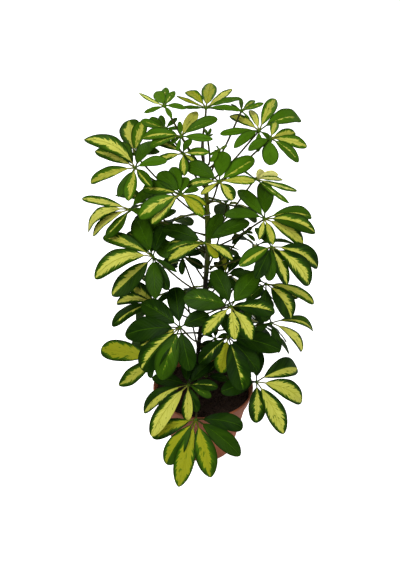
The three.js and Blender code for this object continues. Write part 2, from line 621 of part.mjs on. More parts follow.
// A leaflet takes the first bend in which it is clear of every other leaf, and of its own
// neighbours where that can be had. Where it is crowded it is slimmer.
function clearLeaflet({ name, hub, facing }, { tip, bend, arch, wide }, blades) {
  let chosen = null;
  for (const slimmer of SLIMMER) {
    for (const depth of BENDS) {
      const bent = tip.clone().addScaledVector(bend, depth);
      const form = { width: wide * slimmer, arch };
      if (meets(leafletSolid(hub, bent, facing, { ...form, margin: CLEARANCE }), name)) continue;
      const blade = leafletSolid(hub, bent, facing, form);
      const crossing = blades.reduce((sum, other) => sum + other.intersect(blade).volume(), 0);
      if (chosen === null || crossing < chosen.crossing - CROSSING_GAIN) chosen = { blade, crossing };
      if (chosen.crossing < CROSSING_ALLOWED) return chosen.blade;
    }
    if (chosen !== null) return chosen.blade;
  }
  throw new Error(`${name} has no clear place for a leaflet`);
}

// The hub's radius is the one that joins stalk and leaflets most cleanly.
function clearLeaf(leaf) {
  const blades = [];
  leaf.leaflets.forEach((leaflet) => blades.push(clearLeaflet(leaf, leaflet, blades)));
  const joins = HUB_RADII.map((radius) => {
    const whole = wasm.Manifold.union([leaf.stalk, hubSolid(leaf.hub, radius), ...blades]);
    const solid = largestBody(whole).simplify(SMALLEST_EDGE);
    return { solid, fine: fineness(solid) };
  });
  leaf.solid = joins.reduce((best, join) => (join.fine > best.fine ? join : best)).solid;
  stand(leaf.name, leaf.solid);
  return leaf.solid;
}

// The plant
const plant = new THREE.Group();
const potMesh = pot();
const soilMesh = soil();
const stem = stemSolid(0);
const cane = caneSolid(0);
plant.add(potMesh, soilMesh, meshFrom('stem', stem, bark), meshFrom('cane', cane, bamboo));
stand('pot', solidFrom(potMesh.geometry));
stand('soil', solidFrom(soilMesh.geometry));
stand('stem', stem);
stand('cane', cane);
TIE_HEIGHTS.forEach((height, index) => {
  const tie = tieSolid(height);
  plant.add(meshFrom(`tie_${index + 1}`, tie, tieWire));
  stand(`tie_${index + 1}`, tie);
});

const leaves = SURVEYED_LEAVES.map(surveyedLeaf)
  .concat(Array.from({ length: FAR_LEAVES }, (_, index) => farLeaf(index)));
leaves.forEach(clearStalk);
for (const leaf of leaves) {
  const material = PALE_LEAVES.includes(leaf.name) ? paleLeaf : greenLeaf;
  plant.add(meshFrom(leaf.name, clearLeaf(leaf), material));
}

export default plant;
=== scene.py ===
import bmesh
import bpy
import numpy as np
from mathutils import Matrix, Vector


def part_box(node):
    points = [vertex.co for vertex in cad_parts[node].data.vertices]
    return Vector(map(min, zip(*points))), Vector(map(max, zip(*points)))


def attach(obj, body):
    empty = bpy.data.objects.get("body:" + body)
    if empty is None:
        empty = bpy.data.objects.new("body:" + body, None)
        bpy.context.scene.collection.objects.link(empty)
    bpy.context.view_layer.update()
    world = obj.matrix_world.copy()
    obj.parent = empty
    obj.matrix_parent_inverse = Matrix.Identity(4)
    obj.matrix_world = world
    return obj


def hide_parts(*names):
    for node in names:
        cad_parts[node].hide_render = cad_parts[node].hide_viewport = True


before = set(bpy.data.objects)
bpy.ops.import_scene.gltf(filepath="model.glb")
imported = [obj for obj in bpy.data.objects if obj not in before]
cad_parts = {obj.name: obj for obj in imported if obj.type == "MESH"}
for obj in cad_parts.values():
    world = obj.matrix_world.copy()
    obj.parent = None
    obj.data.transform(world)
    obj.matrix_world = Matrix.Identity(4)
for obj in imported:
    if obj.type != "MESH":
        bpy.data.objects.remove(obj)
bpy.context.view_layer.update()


# The view. A still camera stands in front of the plant and above it, where the
# photograph was taken from. Its focal length is given by the photograph's pixels.
EYE = np.array([-0.006, -1.190, 1.106])
LOOK_DOWN = np.radians(31.9)
FOCAL_PIXELS = 800
VIEW_HEIGHT_PIXELS = 570
FILM_HEIGHT = 36

camera_data = bpy.data.cameras.new("view_camera")
camera_data.sensor_fit = "VERTICAL"
camera_data.sensor_height = FILM_HEIGHT
camera_data.lens = FILM_HEIGHT * FOCAL_PIXELS / VIEW_HEIGHT_PIXELS
camera = bpy.data.objects.new("view_camera", camera_data)
camera.location = EYE
camera.rotation_euler = (np.pi / 2 - LOOK_DOWN, 0, 0)
bpy.context.scene.collection.objects.link(camera)
bpy.context.scene.camera = camera


# The studio. A pale floor without an edge, a white surround, one broad soft lamp
# high at the left front and a weaker one from the right.
def soft_lamp(name, place, size, watts):
    """An area lamp at place that points at the middle of the plant."""
    lamp_data = bpy.data.lights.new(name, "AREA")
    lamp_data.size = size
    lamp_data.energy = watts
    lamp = bpy.data.objects.new(name, lamp_data)
    lamp.location = place
    from_plant = lamp.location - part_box("stem")[1]
    lamp.rotation_euler = from_plant.to_track_quat("Z", "Y").to_euler()
    bpy.context.scene.collection.objects.link(lamp)


soft_lamp("lamp_left", (-0.9, -1.5, 2.2), 1.3, 62)
soft_lamp("lamp_right", (1.5, -1.2, 1.2), 1.2, 22)
soft_lamp("lamp_back", (0.3, 1.8, 2.0), 1.2, 14)

WORLD_LIGHT = 0.27
world = bpy.data.worlds.new("white_surround")
world.use_nodes = True
seen = world.node_tree.nodes.new("ShaderNodeLightPath")
brightness = world.node_tree.nodes.new("ShaderNodeMapRange")
brightness.inputs["To Min"].default_value = WORLD_LIGHT
brightness.inputs["To Max"].default_value = 1.0
surround = world.node_tree.nodes["Background"]
surround.inputs["Color"].default_value = (1, 1, 1, 1)
world.node_tree.links.new(seen.outputs["Is Camera Ray"], brightness.inputs["Value"])
world.node_tree.links.new(brightness.outputs["Result"], surround.inputs["Strength"])
bpy.context.scene.world = world
bpy.context.scene.view_settings.view_transform = "Standard"

FLOOR_HALF = 8.0
floor_mesh = bpy.data.meshes.new("floor")
floor_corners = [(-FLOOR_HALF, -FLOOR_HALF, 0), (FLOOR_HALF, -FLOOR_HALF, 0),
                 (FLOOR_HALF, FLOOR_HALF, 0), (-FLOOR_HALF, FLOOR_HALF, 0)]
floor_mesh.from_pydata(floor_corners, [], [(0, 1, 2, 3)])
floor = bpy.data.objects.new("floor", floor_mesh)
bpy.context.scene.collection.objects.link(floor)
floor_paint = bpy.data.materials.new("floor_paint")
floor_paint.use_nodes = True
floor_shader = floor_paint.node_tree.nodes["Principled BSDF"]
floor_shader.inputs["Base Color"].default_value = (0.9, 0.9, 0.9, 1)
floor_shader.inputs["Roughness"].default_value = 0.9
floor_shader.inputs["Emission Color"].default_value = (1, 1, 1, 1)
floor_seen = floor_paint.node_tree.nodes.new("ShaderNodeLightPath")
floor_paint.node_tree.links.new(floor_seen.outputs["Is Camera Ray"],
                                floor_shader.inputs["Emission Strength"])
floor_mesh.materials.append(floor_paint)


# The pot. One tapered terracotta-coloured moulding with a flared collar, matt and a little
# uneven in colour, with drain holes underneath.
POT_BASE_RADIUS = 0.059
POT_NECK_RADIUS = 0.086
POT_RIM_RADIUS = 0.095
POT_HEIGHT = 0.142
COLLAR_HEIGHT = 0.024
POT_WALL = 0.0032
POT_FLOOR = 0.004
POT_TURNS = 160


def loft_faces(rows, columns, start=0):
    """Quads of a closed grid of rings, with a cap over its first and its last ring."""
    ring_start = np.arange(rows - 1)[:, None] * columns + start
    here = (ring_start + np.arange(columns)).ravel()
    beside = (ring_start + (np.arange(columns) + 1) % columns).ravel()
    quads = np.stack([here, beside, beside + columns, here + columns], axis=1).tolist()
    first = list(range(start + columns - 1, start - 1, -1))
    last = list(range(start + (rows - 1) * columns, start + rows * columns))
    return quads + [first, last]


def add_piece(name, points, faces, material):
    """A smooth mesh object at the origin from points in metres and faces, all turned outwards."""
    mesh = bpy.data.meshes.new(name)
    mesh.from_pydata(points.reshape(-1, 3).tolist(), [], faces)
    outward = bmesh.new()
    outward.from_mesh(mesh)
    bmesh.ops.recalc_face_normals(outward, faces=outward.faces)
    outward.to_mesh(mesh)
    outward.free()
    mesh.polygons.foreach_set("use_smooth", np.full(len(mesh.polygons), True))
    mesh.materials.append(material)
    mesh.update()
    piece = bpy.data.objects.new(name, mesh)
    bpy.context.scene.collection.objects.link(piece)
    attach(piece, "root")
    return piece


def new_material(name):
    """A material with its nodes, its shader, and its Object coordinates."""
    material = bpy.data.materials.new(name)
    material.use_nodes = True
    nodes = material.node_tree.nodes
    coordinates = nodes.new("ShaderNodeTexCoord")
    return material, nodes, material.node_tree.links, nodes["Principled BSDF"], coordinates


def noise(nodes, links, source, scale, detail=3.0, roughness=0.55):
    """A noise node on the source's coordinates, giving a value from 0 to 1."""
    texture = nodes.new("ShaderNodeTexNoise")
    texture.inputs["Scale"].default_value = scale
    texture.inputs["Detail"].default_value = detail
    texture.inputs["Roughness"].default_value = roughness
    links.new(source, texture.inputs["Vector"])
    return texture.outputs["Fac"]


def ramp(nodes, links, source, stops):
    """A colour ramp through stops of (place, colour)."""
    node = nodes.new("ShaderNodeValToRGB")
    elements = node.color_ramp.elements
    while len(elements) < len(stops):
        elements.new(0.5)
    for element, (place, colour) in zip(elements, stops):
        element.position = place
        element.color = (*colour, 1)
    links.new(source, node.inputs["Fac"])
    return node.outputs["Color"]


def bump(nodes, links, shader, height, distance, strength=1.0):
    """A bump that feeds the shader's normal with a height in metres times distance."""
    node = nodes.new("ShaderNodeBump")
    node.inputs["Strength"].default_value = strength
    node.inputs["Distance"].default_value = distance
    links.new(height, node.inputs["Height"])
    links.new(node.outputs["Normal"], shader.inputs["Normal"])


terracotta, nodes, links, shader, coordinates = new_material("terracotta")
clouds = noise(nodes, links, coordinates.outputs["Object"], 26, 5)
pot_colour = ramp(nodes, links, clouds, [(0.3, (0.20, 0.055, 0.020)), (0.55, (0.25, 0.075, 0.031)),
                                         (0.75, (0.31, 0.11, 0.052))])
links.new(pot_colour, shader.inputs["Base Color"])
shader.inputs["Specular IOR Level"].default_value = 0.2
grain = noise(nodes, links, coordinates.outputs["Object"], 900, 2)
roughness_map = nodes.new("ShaderNodeMapRange")
roughness_map.inputs["To Min"].default_value = 0.5
roughness_map.inputs["To Max"].default_value = 0.72
links.new(grain, roughness_map.inputs["Value"])
links.new(roughness_map.outputs["Result"], shader.inputs["Roughness"])
bump(nodes, links, shader, grain, 0.00015, 0.6)

neck = POT_HEIGHT - COLLAR_HEIGHT
outside = [(0.002, 0.0), (0.030, 0.0), (0.0568, 0.0), (0.0585, 0.0006), (0.0592, 0.002), (0.0665, 0.032),
           (0.0735, 0.063), (0.0795, 0.090), (0.0852, neck - 0.0042), (0.0857, neck - 0.003),
           (0.0864, neck - 0.0024), (0.0884, neck - 0.0008), (0.0891, neck + 0.0002),
           (0.0895, neck + 0.002), (0.0918, neck + 0.010), (0.0943, POT_HEIGHT - 0.005),
           (0.09495, POT_HEIGHT - 0.003), (0.0948, POT_HEIGHT - 0.0012), (0.0940, POT_HEIGHT - 0.0002),
           (0.0930, POT_HEIGHT), (0.0921, POT_HEIGHT - 0.0004), (0.0917, POT_HEIGHT - 0.0014),
           (0.0905, POT_HEIGHT - 0.008), (POT_NECK_RADIUS - POT_WALL, neck),
           (POT_BASE_RADIUS - POT_WALL + 0.0008, POT_FLOOR + 0.001), (0.055, POT_FLOOR),
           (0.002, POT_FLOOR)]
profile = np.array(outside)
turns = np.linspace(0, 2 * np.pi, POT_TURNS, endpoint=False)
pot_points = np.stack([profile[:, :1] * np.cos(turns), profile[:, :1] * np.sin(turns),
                       np.repeat(profile[:, 1:], POT_TURNS, axis=1)], axis=-1)
pot = add_piece("pot_shell", pot_points, loft_faces(len(profile), POT_TURNS), terracotta)
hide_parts("pot")

# Six round drain holes go through the pot's floor.
DRAIN_HOLES = 6
DRAIN_RADIUS = 0.005
DRAIN_RING_RADIUS = 0.038
DRAIN_SIDES = 24
drill_turns = np.linspace(0, 2 * np.pi, DRAIN_SIDES, endpoint=False)
drill_ring = DRAIN_RADIUS * np.stack([np.cos(drill_turns), np.sin(drill_turns)], axis=1)
drill_points = []
drill_faces = []
for hole in range(DRAIN_HOLES):
    turn = 2 * np.pi * hole / DRAIN_HOLES
    place = DRAIN_RING_RADIUS * np.array([np.cos(turn), np.sin(turn)])
    for height in (-POT_FLOOR, 2 * POT_FLOOR):
        drill_points += [(x, y, height) for x, y in drill_ring + place]
    drill_faces += loft_faces(2, DRAIN_SIDES, 2 * DRAIN_SIDES * hole)
drill_mesh = bpy.data.meshes.new("drill")
drill_mesh.from_pydata(drill_points, [], drill_faces)
drill = bpy.data.objects.new("drill", drill_mesh)
bpy.context.scene.collection.objects.link(drill)
cut = pot.modifiers.new("drain_holes", "BOOLEAN")
cut.operation = "DIFFERENCE"
cut.solver = "EXACT"
cut.object = drill
bpy.context.view_layer.update()
holed_pot = bpy.data.meshes.new_from_object(pot.evaluated_get(bpy.context.evaluated_depsgraph_get()))
pot.modifiers.clear()
pot.data = holed_pot
bpy.data.objects.remove(drill)


# The soil. Dark moist peat with crumbs and lumps, filled to a finger's width under
# the rim. The stem and the cane stand in it.
SOIL_TOP = 0.129
SOIL_GAP = 0.0004
SOIL_RINGS = 46
SOIL_TURNS = 120
CLOD_COUNT = 520
CLOD_SIZES = (0.0012, 0.0042)
CLOD_FIELD = 0.985
CLOD_SUNK = 0.2
CLOD_POLE = 0.4
CLOD_ROWS = 5
CLOD_COLUMNS = 8
soil_chance = np.random.default_rng(7)


def soil_height(x, y):
    """Top of the soil: broad waves of a few millimetres, with finer waves on them."""
    broad = np.sin(190 * x + 1) * np.cos(230 * y) + np.sin(310 * x - 270 * y)
    fine = np.sin(900 * x + 3 * np.sin(400 * y)) * np.cos(1100 * y + 2) + np.sin(1500 * x - 1300 * y)
    return SOIL_TOP + 0.0013 * broad + 0.0006 * fine


peat, nodes, links, shader, coordinates = new_material("peat")
crumbs = noise(nodes, links, coordinates.outputs["Object"], 420, 6, 0.7)
peat_colour = ramp(nodes, links, crumbs, [(0.3, (0.006, 0.0035, 0.002)), (0.52, (0.02, 0.011, 0.007)),
                                          (0.72, (0.05, 0.03, 0.02))])
links.new(peat_colour, shader.inputs["Base Color"])
shader.inputs["Roughness"].default_value = 0.9
shader.inputs["Specular IOR Level"].default_value = 0.1
bump(nodes, links, shader, crumbs, 0.0015)

neck_inside = POT_NECK_RADIUS - POT_WALL - SOIL_GAP
soil_radius = neck_inside + (SOIL_TOP - neck) / COLLAR_HEIGHT * (POT_RIM_RADIUS - POT_NECK_RADIUS)
soil_profile = np.array([(0.002, POT_FLOOR + SOIL_GAP), (POT_BASE_RADIUS - POT_WALL, POT_FLOOR + SOIL_GAP),
                         (neck_inside, neck)])
top_radii = soil_radius * np.linspace(1, 0.01, SOIL_RINGS)
soil_profile = np.vstack([soil_profile, np.stack([top_radii, np.full(SOIL_RINGS, SOIL_TOP)], axis=1)])
turns = np.linspace(0, 2 * np.pi, SOIL_TURNS, endpoint=False)
x = soil_profile[:, :1] * np.cos(turns)
y = soil_profile[:, :1] * np.sin(turns)
is_top = soil_profile[:, 1:] > SOIL_TOP - 0.0001
z = np.where(is_top, soil_height(x, y), soil_profile[:, 1:])
soil = add_piece("potting_soil", np.stack([x, y, z], axis=-1),
                 loft_faces(len(soil_profile), SOIL_TURNS), peat)
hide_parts("soil")


def lumps(centres, sizes, chance):
    """Small uneven balls: each a sphere grid, squashed and dented by its own random draw."""
    down = np.linspace(CLOD_POLE, np.pi - CLOD_POLE, CLOD_ROWS)[:, None]
    round_it = np.linspace(0, 2 * np.pi, CLOD_COLUMNS, endpoint=False)[None, :]
    ball = np.stack([np.sin(down) * np.cos(round_it), np.sin(down) * np.sin(round_it),
                     np.cos(down) * np.ones_like(round_it)], axis=-1).reshape(1, -1, 3)
    squash = chance.uniform(0.55, 1.15, (len(centres), 1, 3))
    dents = chance.uniform(0.82, 1.12, (len(centres), CLOD_ROWS * CLOD_COLUMNS, 1))
    points = centres[:, None, :] + sizes[:, None, None] * ball * squash * dents
    faces = []
    for number in range(len(centres)):
        faces += loft_faces(CLOD_ROWS, CLOD_COLUMNS, number * CLOD_ROWS * CLOD_COLUMNS)
    return points, faces


clod_reach = soil_radius * CLOD_FIELD * np.sqrt(soil_chance.uniform(0, 1, CLOD_COUNT))
clod_turn = soil_chance.uniform(0, 2 * np.pi, CLOD_COUNT)
clod_x = clod_reach * np.cos(clod_turn)
clod_y = clod_reach * np.sin(clod_turn)
clod_sizes = soil_chance.uniform(*CLOD_SIZES, CLOD_COUNT) * soil_chance.uniform(0.4, 1, CLOD_COUNT)
clod_centres = np.stack([clod_x, clod_y, soil_height(clod_x, clod_y) + CLOD_SUNK * clod_sizes], axis=1)
clod_points, clod_faces = lumps(clod_centres, clod_sizes, soil_chance)
clods = add_piece("soil_clods", clod_points, clod_faces, peat)


# The stem. One woody stem, brown and ringed with old leaf scars below, that brown darkened almost to black
# by painted shade, green above, leaning a little as it climbs from the soil to the youngest leaves.
STEM_COURSE = np.array([(-0.013, 0.005, 0.066), (-0.012, 0.004, 0.128), (-0.009, 0.002, 0.224),
                        (0.0025, 0, 0.353), (0.007, 0, 0.412), (0.008, 0, 0.465), (0.0055, 0, 0.521),
                        (0.0045, 0, 0.590)])
STEM_RADII = np.array([(0, 0.0043), (0.55, 0.0038), (0.68, 0.0054), (0.8, 0.0052), (0.9, 0.0034),
                       (1, 0.0027)])
STEM_END = np.array([0.98, 0.94, 0.86, 0.74, 0.55, 0.3])
STEM_SCAR_SPACING = 0.0135
STEM_SCAR_SWELL = 0.09
STEM_SCAR_WIDTH = 0.1
STEM_BETWEEN_SCARS = 0.95
GREEN_FROM = 0.38
GREEN_ABOVE = 0.44
STEM_RINGS = 360
STEM_SIDES = 20


def smooth_path(knots, count):
    """Catmull-Rom path: each stretch is a cubic whose ends run along their neighbours."""
    ends = np.vstack([2 * knots[0] - knots[1], knots, 2 * knots[-1] - knots[-2]])
    place = np.linspace(0, len(knots) - 1 - 1e-9, count)
    start = place.astype(int)
    share = (place - start)[:, None]
    before, here, after, beyond = (ends[start + k] for k in range(4))
    return 0.5 * (2 * here + (after - before) * share
                  + (2 * before - 5 * here + 4 * after - beyond) * share ** 2
                  + (3 * here - before - 3 * after + beyond) * share ** 3)


def tube(path, radii, sides):
    """Rings of points round a path: at each point a circle of its radius, square to the path."""
    along = np.gradient(path, axis=0)
    along /= np.linalg.norm(along, axis=1, keepdims=True)
    aside = np.cross(along, np.where(np.abs(along[:, 2:]) > 0.8, (0.0, 1.0, 0.0), (0.0, 0.0, 1.0)))
    aside /= np.linalg.norm(aside, axis=1, keepdims=True)
    above = np.cross(along, aside)
    turns = np.linspace(0, 2 * np.pi, sides, endpoint=False)
    spokes = aside[:, None] * np.cos(turns)[None, :, None] + above[:, None] * np.sin(turns)[None, :, None]
    return path[:, None] + spokes * np.reshape(radii, (-1, 1, 1))


def stepped(nodes, links, value, low, high):
    """0 below low, 1 above high, and a straight slope between them."""
    node = nodes.new("ShaderNodeMapRange")
    node.inputs["From Min"].default_value = low
    node.inputs["From Max"].default_value = high
    links.new(value, node.inputs["Value"])
    return node.outputs["Result"]


def blend(nodes, links, amount, under, over):
    """The colour over laid on the colour under by an amount from 0 to 1."""
    node = nodes.new("ShaderNodeMix")
    node.data_type = "RGBA"
    links.new(amount, node.inputs["Factor"])
    for socket, colour in ((node.inputs[6], under), (node.inputs[7], over)):
        if isinstance(colour, tuple):
            socket.default_value = (*colour, 1)
        else:
            links.new(colour, socket)
    return node.outputs[2]


bark, nodes, links, shader, coordinates = new_material("bark")
split = nodes.new("ShaderNodeSeparateXYZ")
links.new(coordinates.outputs["Object"], split.inputs["Vector"])
stretch = nodes.new("ShaderNodeMapping")
stretch.inputs["Scale"].default_value = (1, 1, 0.25)
links.new(coordinates.outputs["Object"], stretch.inputs["Vector"])
flakes = noise(nodes, links, stretch.outputs["Vector"], 700, 5, 0.65)
# Painted shade: the woody brown of the lower stem is darkened almost to black, the shade under the leaves
# painted into the bark.
woody = ramp(nodes, links, flakes, [(0.35, (0.002, 0.002, 0.0007)), (0.6, (0.006, 0.005, 0.0016)),
                                    (0.8, (0.022, 0.018, 0.008))])
greener = ramp(nodes, links, flakes, [(0.3, (0.032, 0.048, 0.002)), (0.7, (0.090, 0.125, 0.006))])
youth = stepped(nodes, links, split.outputs["Z"], GREEN_FROM, GREEN_ABOVE)
links.new(blend(nodes, links, youth, woody, greener), shader.inputs["Base Color"])
shader.inputs["Roughness"].default_value = 0.75
shader.inputs["Specular IOR Level"].default_value = 0.1
bump(nodes, links, shader, flakes, 0.0006)

stem_path = smooth_path(STEM_COURSE, STEM_RINGS)
stem_share = np.linspace(0, 1, STEM_RINGS)
scar_phase = stem_path[:, 2] / STEM_SCAR_SPACING
scar_swell = STEM_SCAR_SWELL * np.exp(-((scar_phase % 1 - 0.5) / STEM_SCAR_WIDTH) ** 2)
stem_radii = np.interp(stem_share, *STEM_RADII.T) * (STEM_BETWEEN_SCARS + scar_swell)
stem_radii[-len(STEM_END):] *= STEM_END
stem_points = tube(stem_path, stem_radii, STEM_SIDES)
stem = add_piece("main_stem", stem_points, loft_faces(STEM_RINGS, STEM_SIDES), bark)
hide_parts("stem")


# The cane. A slim split cane, weathered grey, with a node every hand's width; it stands in
# the soil close behind the stem, gives a little with it, and goes on above it.
CANE_COURSE = np.array([(-0.014, 0.014, 0.050), (-0.012, 0.013, 0.128), (-0.008, 0.0115, 0.224),
                        (0.0005, 0.010, 0.353), (0.004, 0.0095, 0.430), (0.003, 0.009, 0.520),
                        (-0.0015, 0.0085, 0.634)])
CANE_RADIUS = 0.0020
CANE_NODE_SPACING = 0.115
CANE_NODE_SHIFT = 0.3
CANE_NODE_SWELL = 0.14
CANE_NODE_WIDTH = 0.012
CANE_BETWEEN_NODES = 0.94
CANE_RINGS = 240
CANE_SIDES = 14

split_cane, nodes, links, shader, coordinates = new_material("split_cane")
stretch = nodes.new("ShaderNodeMapping")
stretch.inputs["Scale"].default_value = (1, 1, 0.04)
links.new(coordinates.outputs["Object"], stretch.inputs["Vector"])
fibre = noise(nodes, links, stretch.outputs["Vector"], 1600, 3)
cane_colour = ramp(nodes, links, fibre, [(0.3, (0.13, 0.12, 0.085)), (0.7, (0.33, 0.31, 0.24))])
links.new(cane_colour, shader.inputs["Base Color"])
shader.inputs["Roughness"].default_value = 0.6
bump(nodes, links, shader, fibre, 0.0003)

cane_path = smooth_path(CANE_COURSE, CANE_RINGS)
cane_phase = (cane_path[:, 2] / CANE_NODE_SPACING + CANE_NODE_SHIFT) % 1 - 0.5
cane_swell = CANE_NODE_SWELL * np.exp(-(cane_phase / CANE_NODE_WIDTH) ** 2)
cane_points = tube(cane_path, CANE_RADIUS * (CANE_BETWEEN_NODES + cane_swell), CANE_SIDES)
cane = add_piece("support_cane", cane_points, loft_faces(CANE_RINGS, CANE_SIDES), split_cane)
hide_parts("cane")


# The ties. Two short lengths of grey coated plant tie, each once round stem and cane,
# with their ends twisted together at the side.
TIE_HEIGHTS = (0.345, 0.505)
TIE_STRIP = 0.0011
TIE_CLEAR = 0.0004
TIE_TAIL = 0.0055
TIE_TWISTS = 4
TIE_TWIST_RADIUS = 0.0006
TIE_STEM_STEPS = 24
TIE_CANE_STEPS = 16
TIE_TAIL_STEPS = 40
TIE_SIDES = 8

tie_coating, nodes, links, shader, coordinates = new_material("tie_coating")
scuffs = noise(nodes, links, coordinates.outputs["Object"], 1500, 3)
tie_colour = ramp(nodes, links, scuffs, [(0.35, (0.26, 0.27, 0.27)), (0.65, (0.42, 0.43, 0.42))])
links.new(tie_colour, shader.inputs["Base Color"])
shader.inputs["Roughness"].default_value = 0.45
bump(nodes, links, shader, scuffs, 0.0002)


def path_at(path, height):
    """The point of a rising path at a height."""
    return np.array([np.interp(height, path[:, 2], path[:, k]) for k in (0, 1)] + [height])


def tie_path(height):
    """A loop on the outline of stem and cane together, ending in a twisted tail at the side."""
    stem_middle = path_at(stem_path, height)
    cane_middle = path_at(cane_path, height)
    towards = np.arctan2(cane_middle[1] - stem_middle[1], cane_middle[0] - stem_middle[0])
    stem_radius = np.interp(height, stem_path[:, 2], stem_radii) + TIE_CLEAR + TIE_STRIP / 2
    cane_radius = CANE_RADIUS + TIE_CLEAR + TIE_STRIP / 2
    half = np.pi / 2
    round_stem = towards + np.linspace(half, 3 * half, TIE_STEM_STEPS)
    round_cane = towards + np.linspace(-half, half, TIE_CANE_STEPS)
    loop_x = np.concatenate([stem_middle[0] + stem_radius * np.cos(round_stem),
                             cane_middle[0] + cane_radius * np.cos(round_cane)])
    loop_y = np.concatenate([stem_middle[1] + stem_radius * np.sin(round_stem),
                             cane_middle[1] + cane_radius * np.sin(round_cane)])
    climb = np.linspace(-TIE_STRIP, TIE_STRIP, len(loop_x))
    loop = np.stack([loop_x, loop_y, height + climb], axis=1)
    twist = np.linspace(0, 2 * np.pi * TIE_TWISTS, TIE_TAIL_STEPS)
    out = loop[-1] - cane_middle
    out /= np.linalg.norm(out)
    tail = loop[-1] + out * np.linspace(TIE_CLEAR, TIE_TAIL, TIE_TAIL_STEPS)[:, None]
    tail = tail + TIE_TWIST_RADIUS * np.stack([0 * twist, np.cos(twist), np.sin(twist)], axis=1)
    return np.vstack([loop, tail])


for number, height in enumerate(TIE_HEIGHTS, start=1):
    path = tie_path(height)
    tie_points = tube(path, np.full(len(path), TIE_STRIP / 2), TIE_SIDES)
    tie = add_piece(f"plant_tie_{number}", tie_points, loft_faces(len(path), TIE_SIDES), tie_coating)
    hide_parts(f"tie_{number}")


# The leaves. Each is a palm of waxy leaflets, dark green with yellow hearts, on a stalk of
# its own that grows from the stem. They stand where the photograph shows them.
VIEW_MIDDLE = (200, 285)
LEAFLET_DROOP = 0.12
LEAFLET_ARCH = 0.1
TURNED_TO_EYE = 0.6
FORWARD = np.array([0, np.cos(LOOK_DOWN), -np.sin(LOOK_DOWN)])
VIEW_UP = np.array([0, np.sin(LOOK_DOWN), np.cos(LOOK_DOWN)])

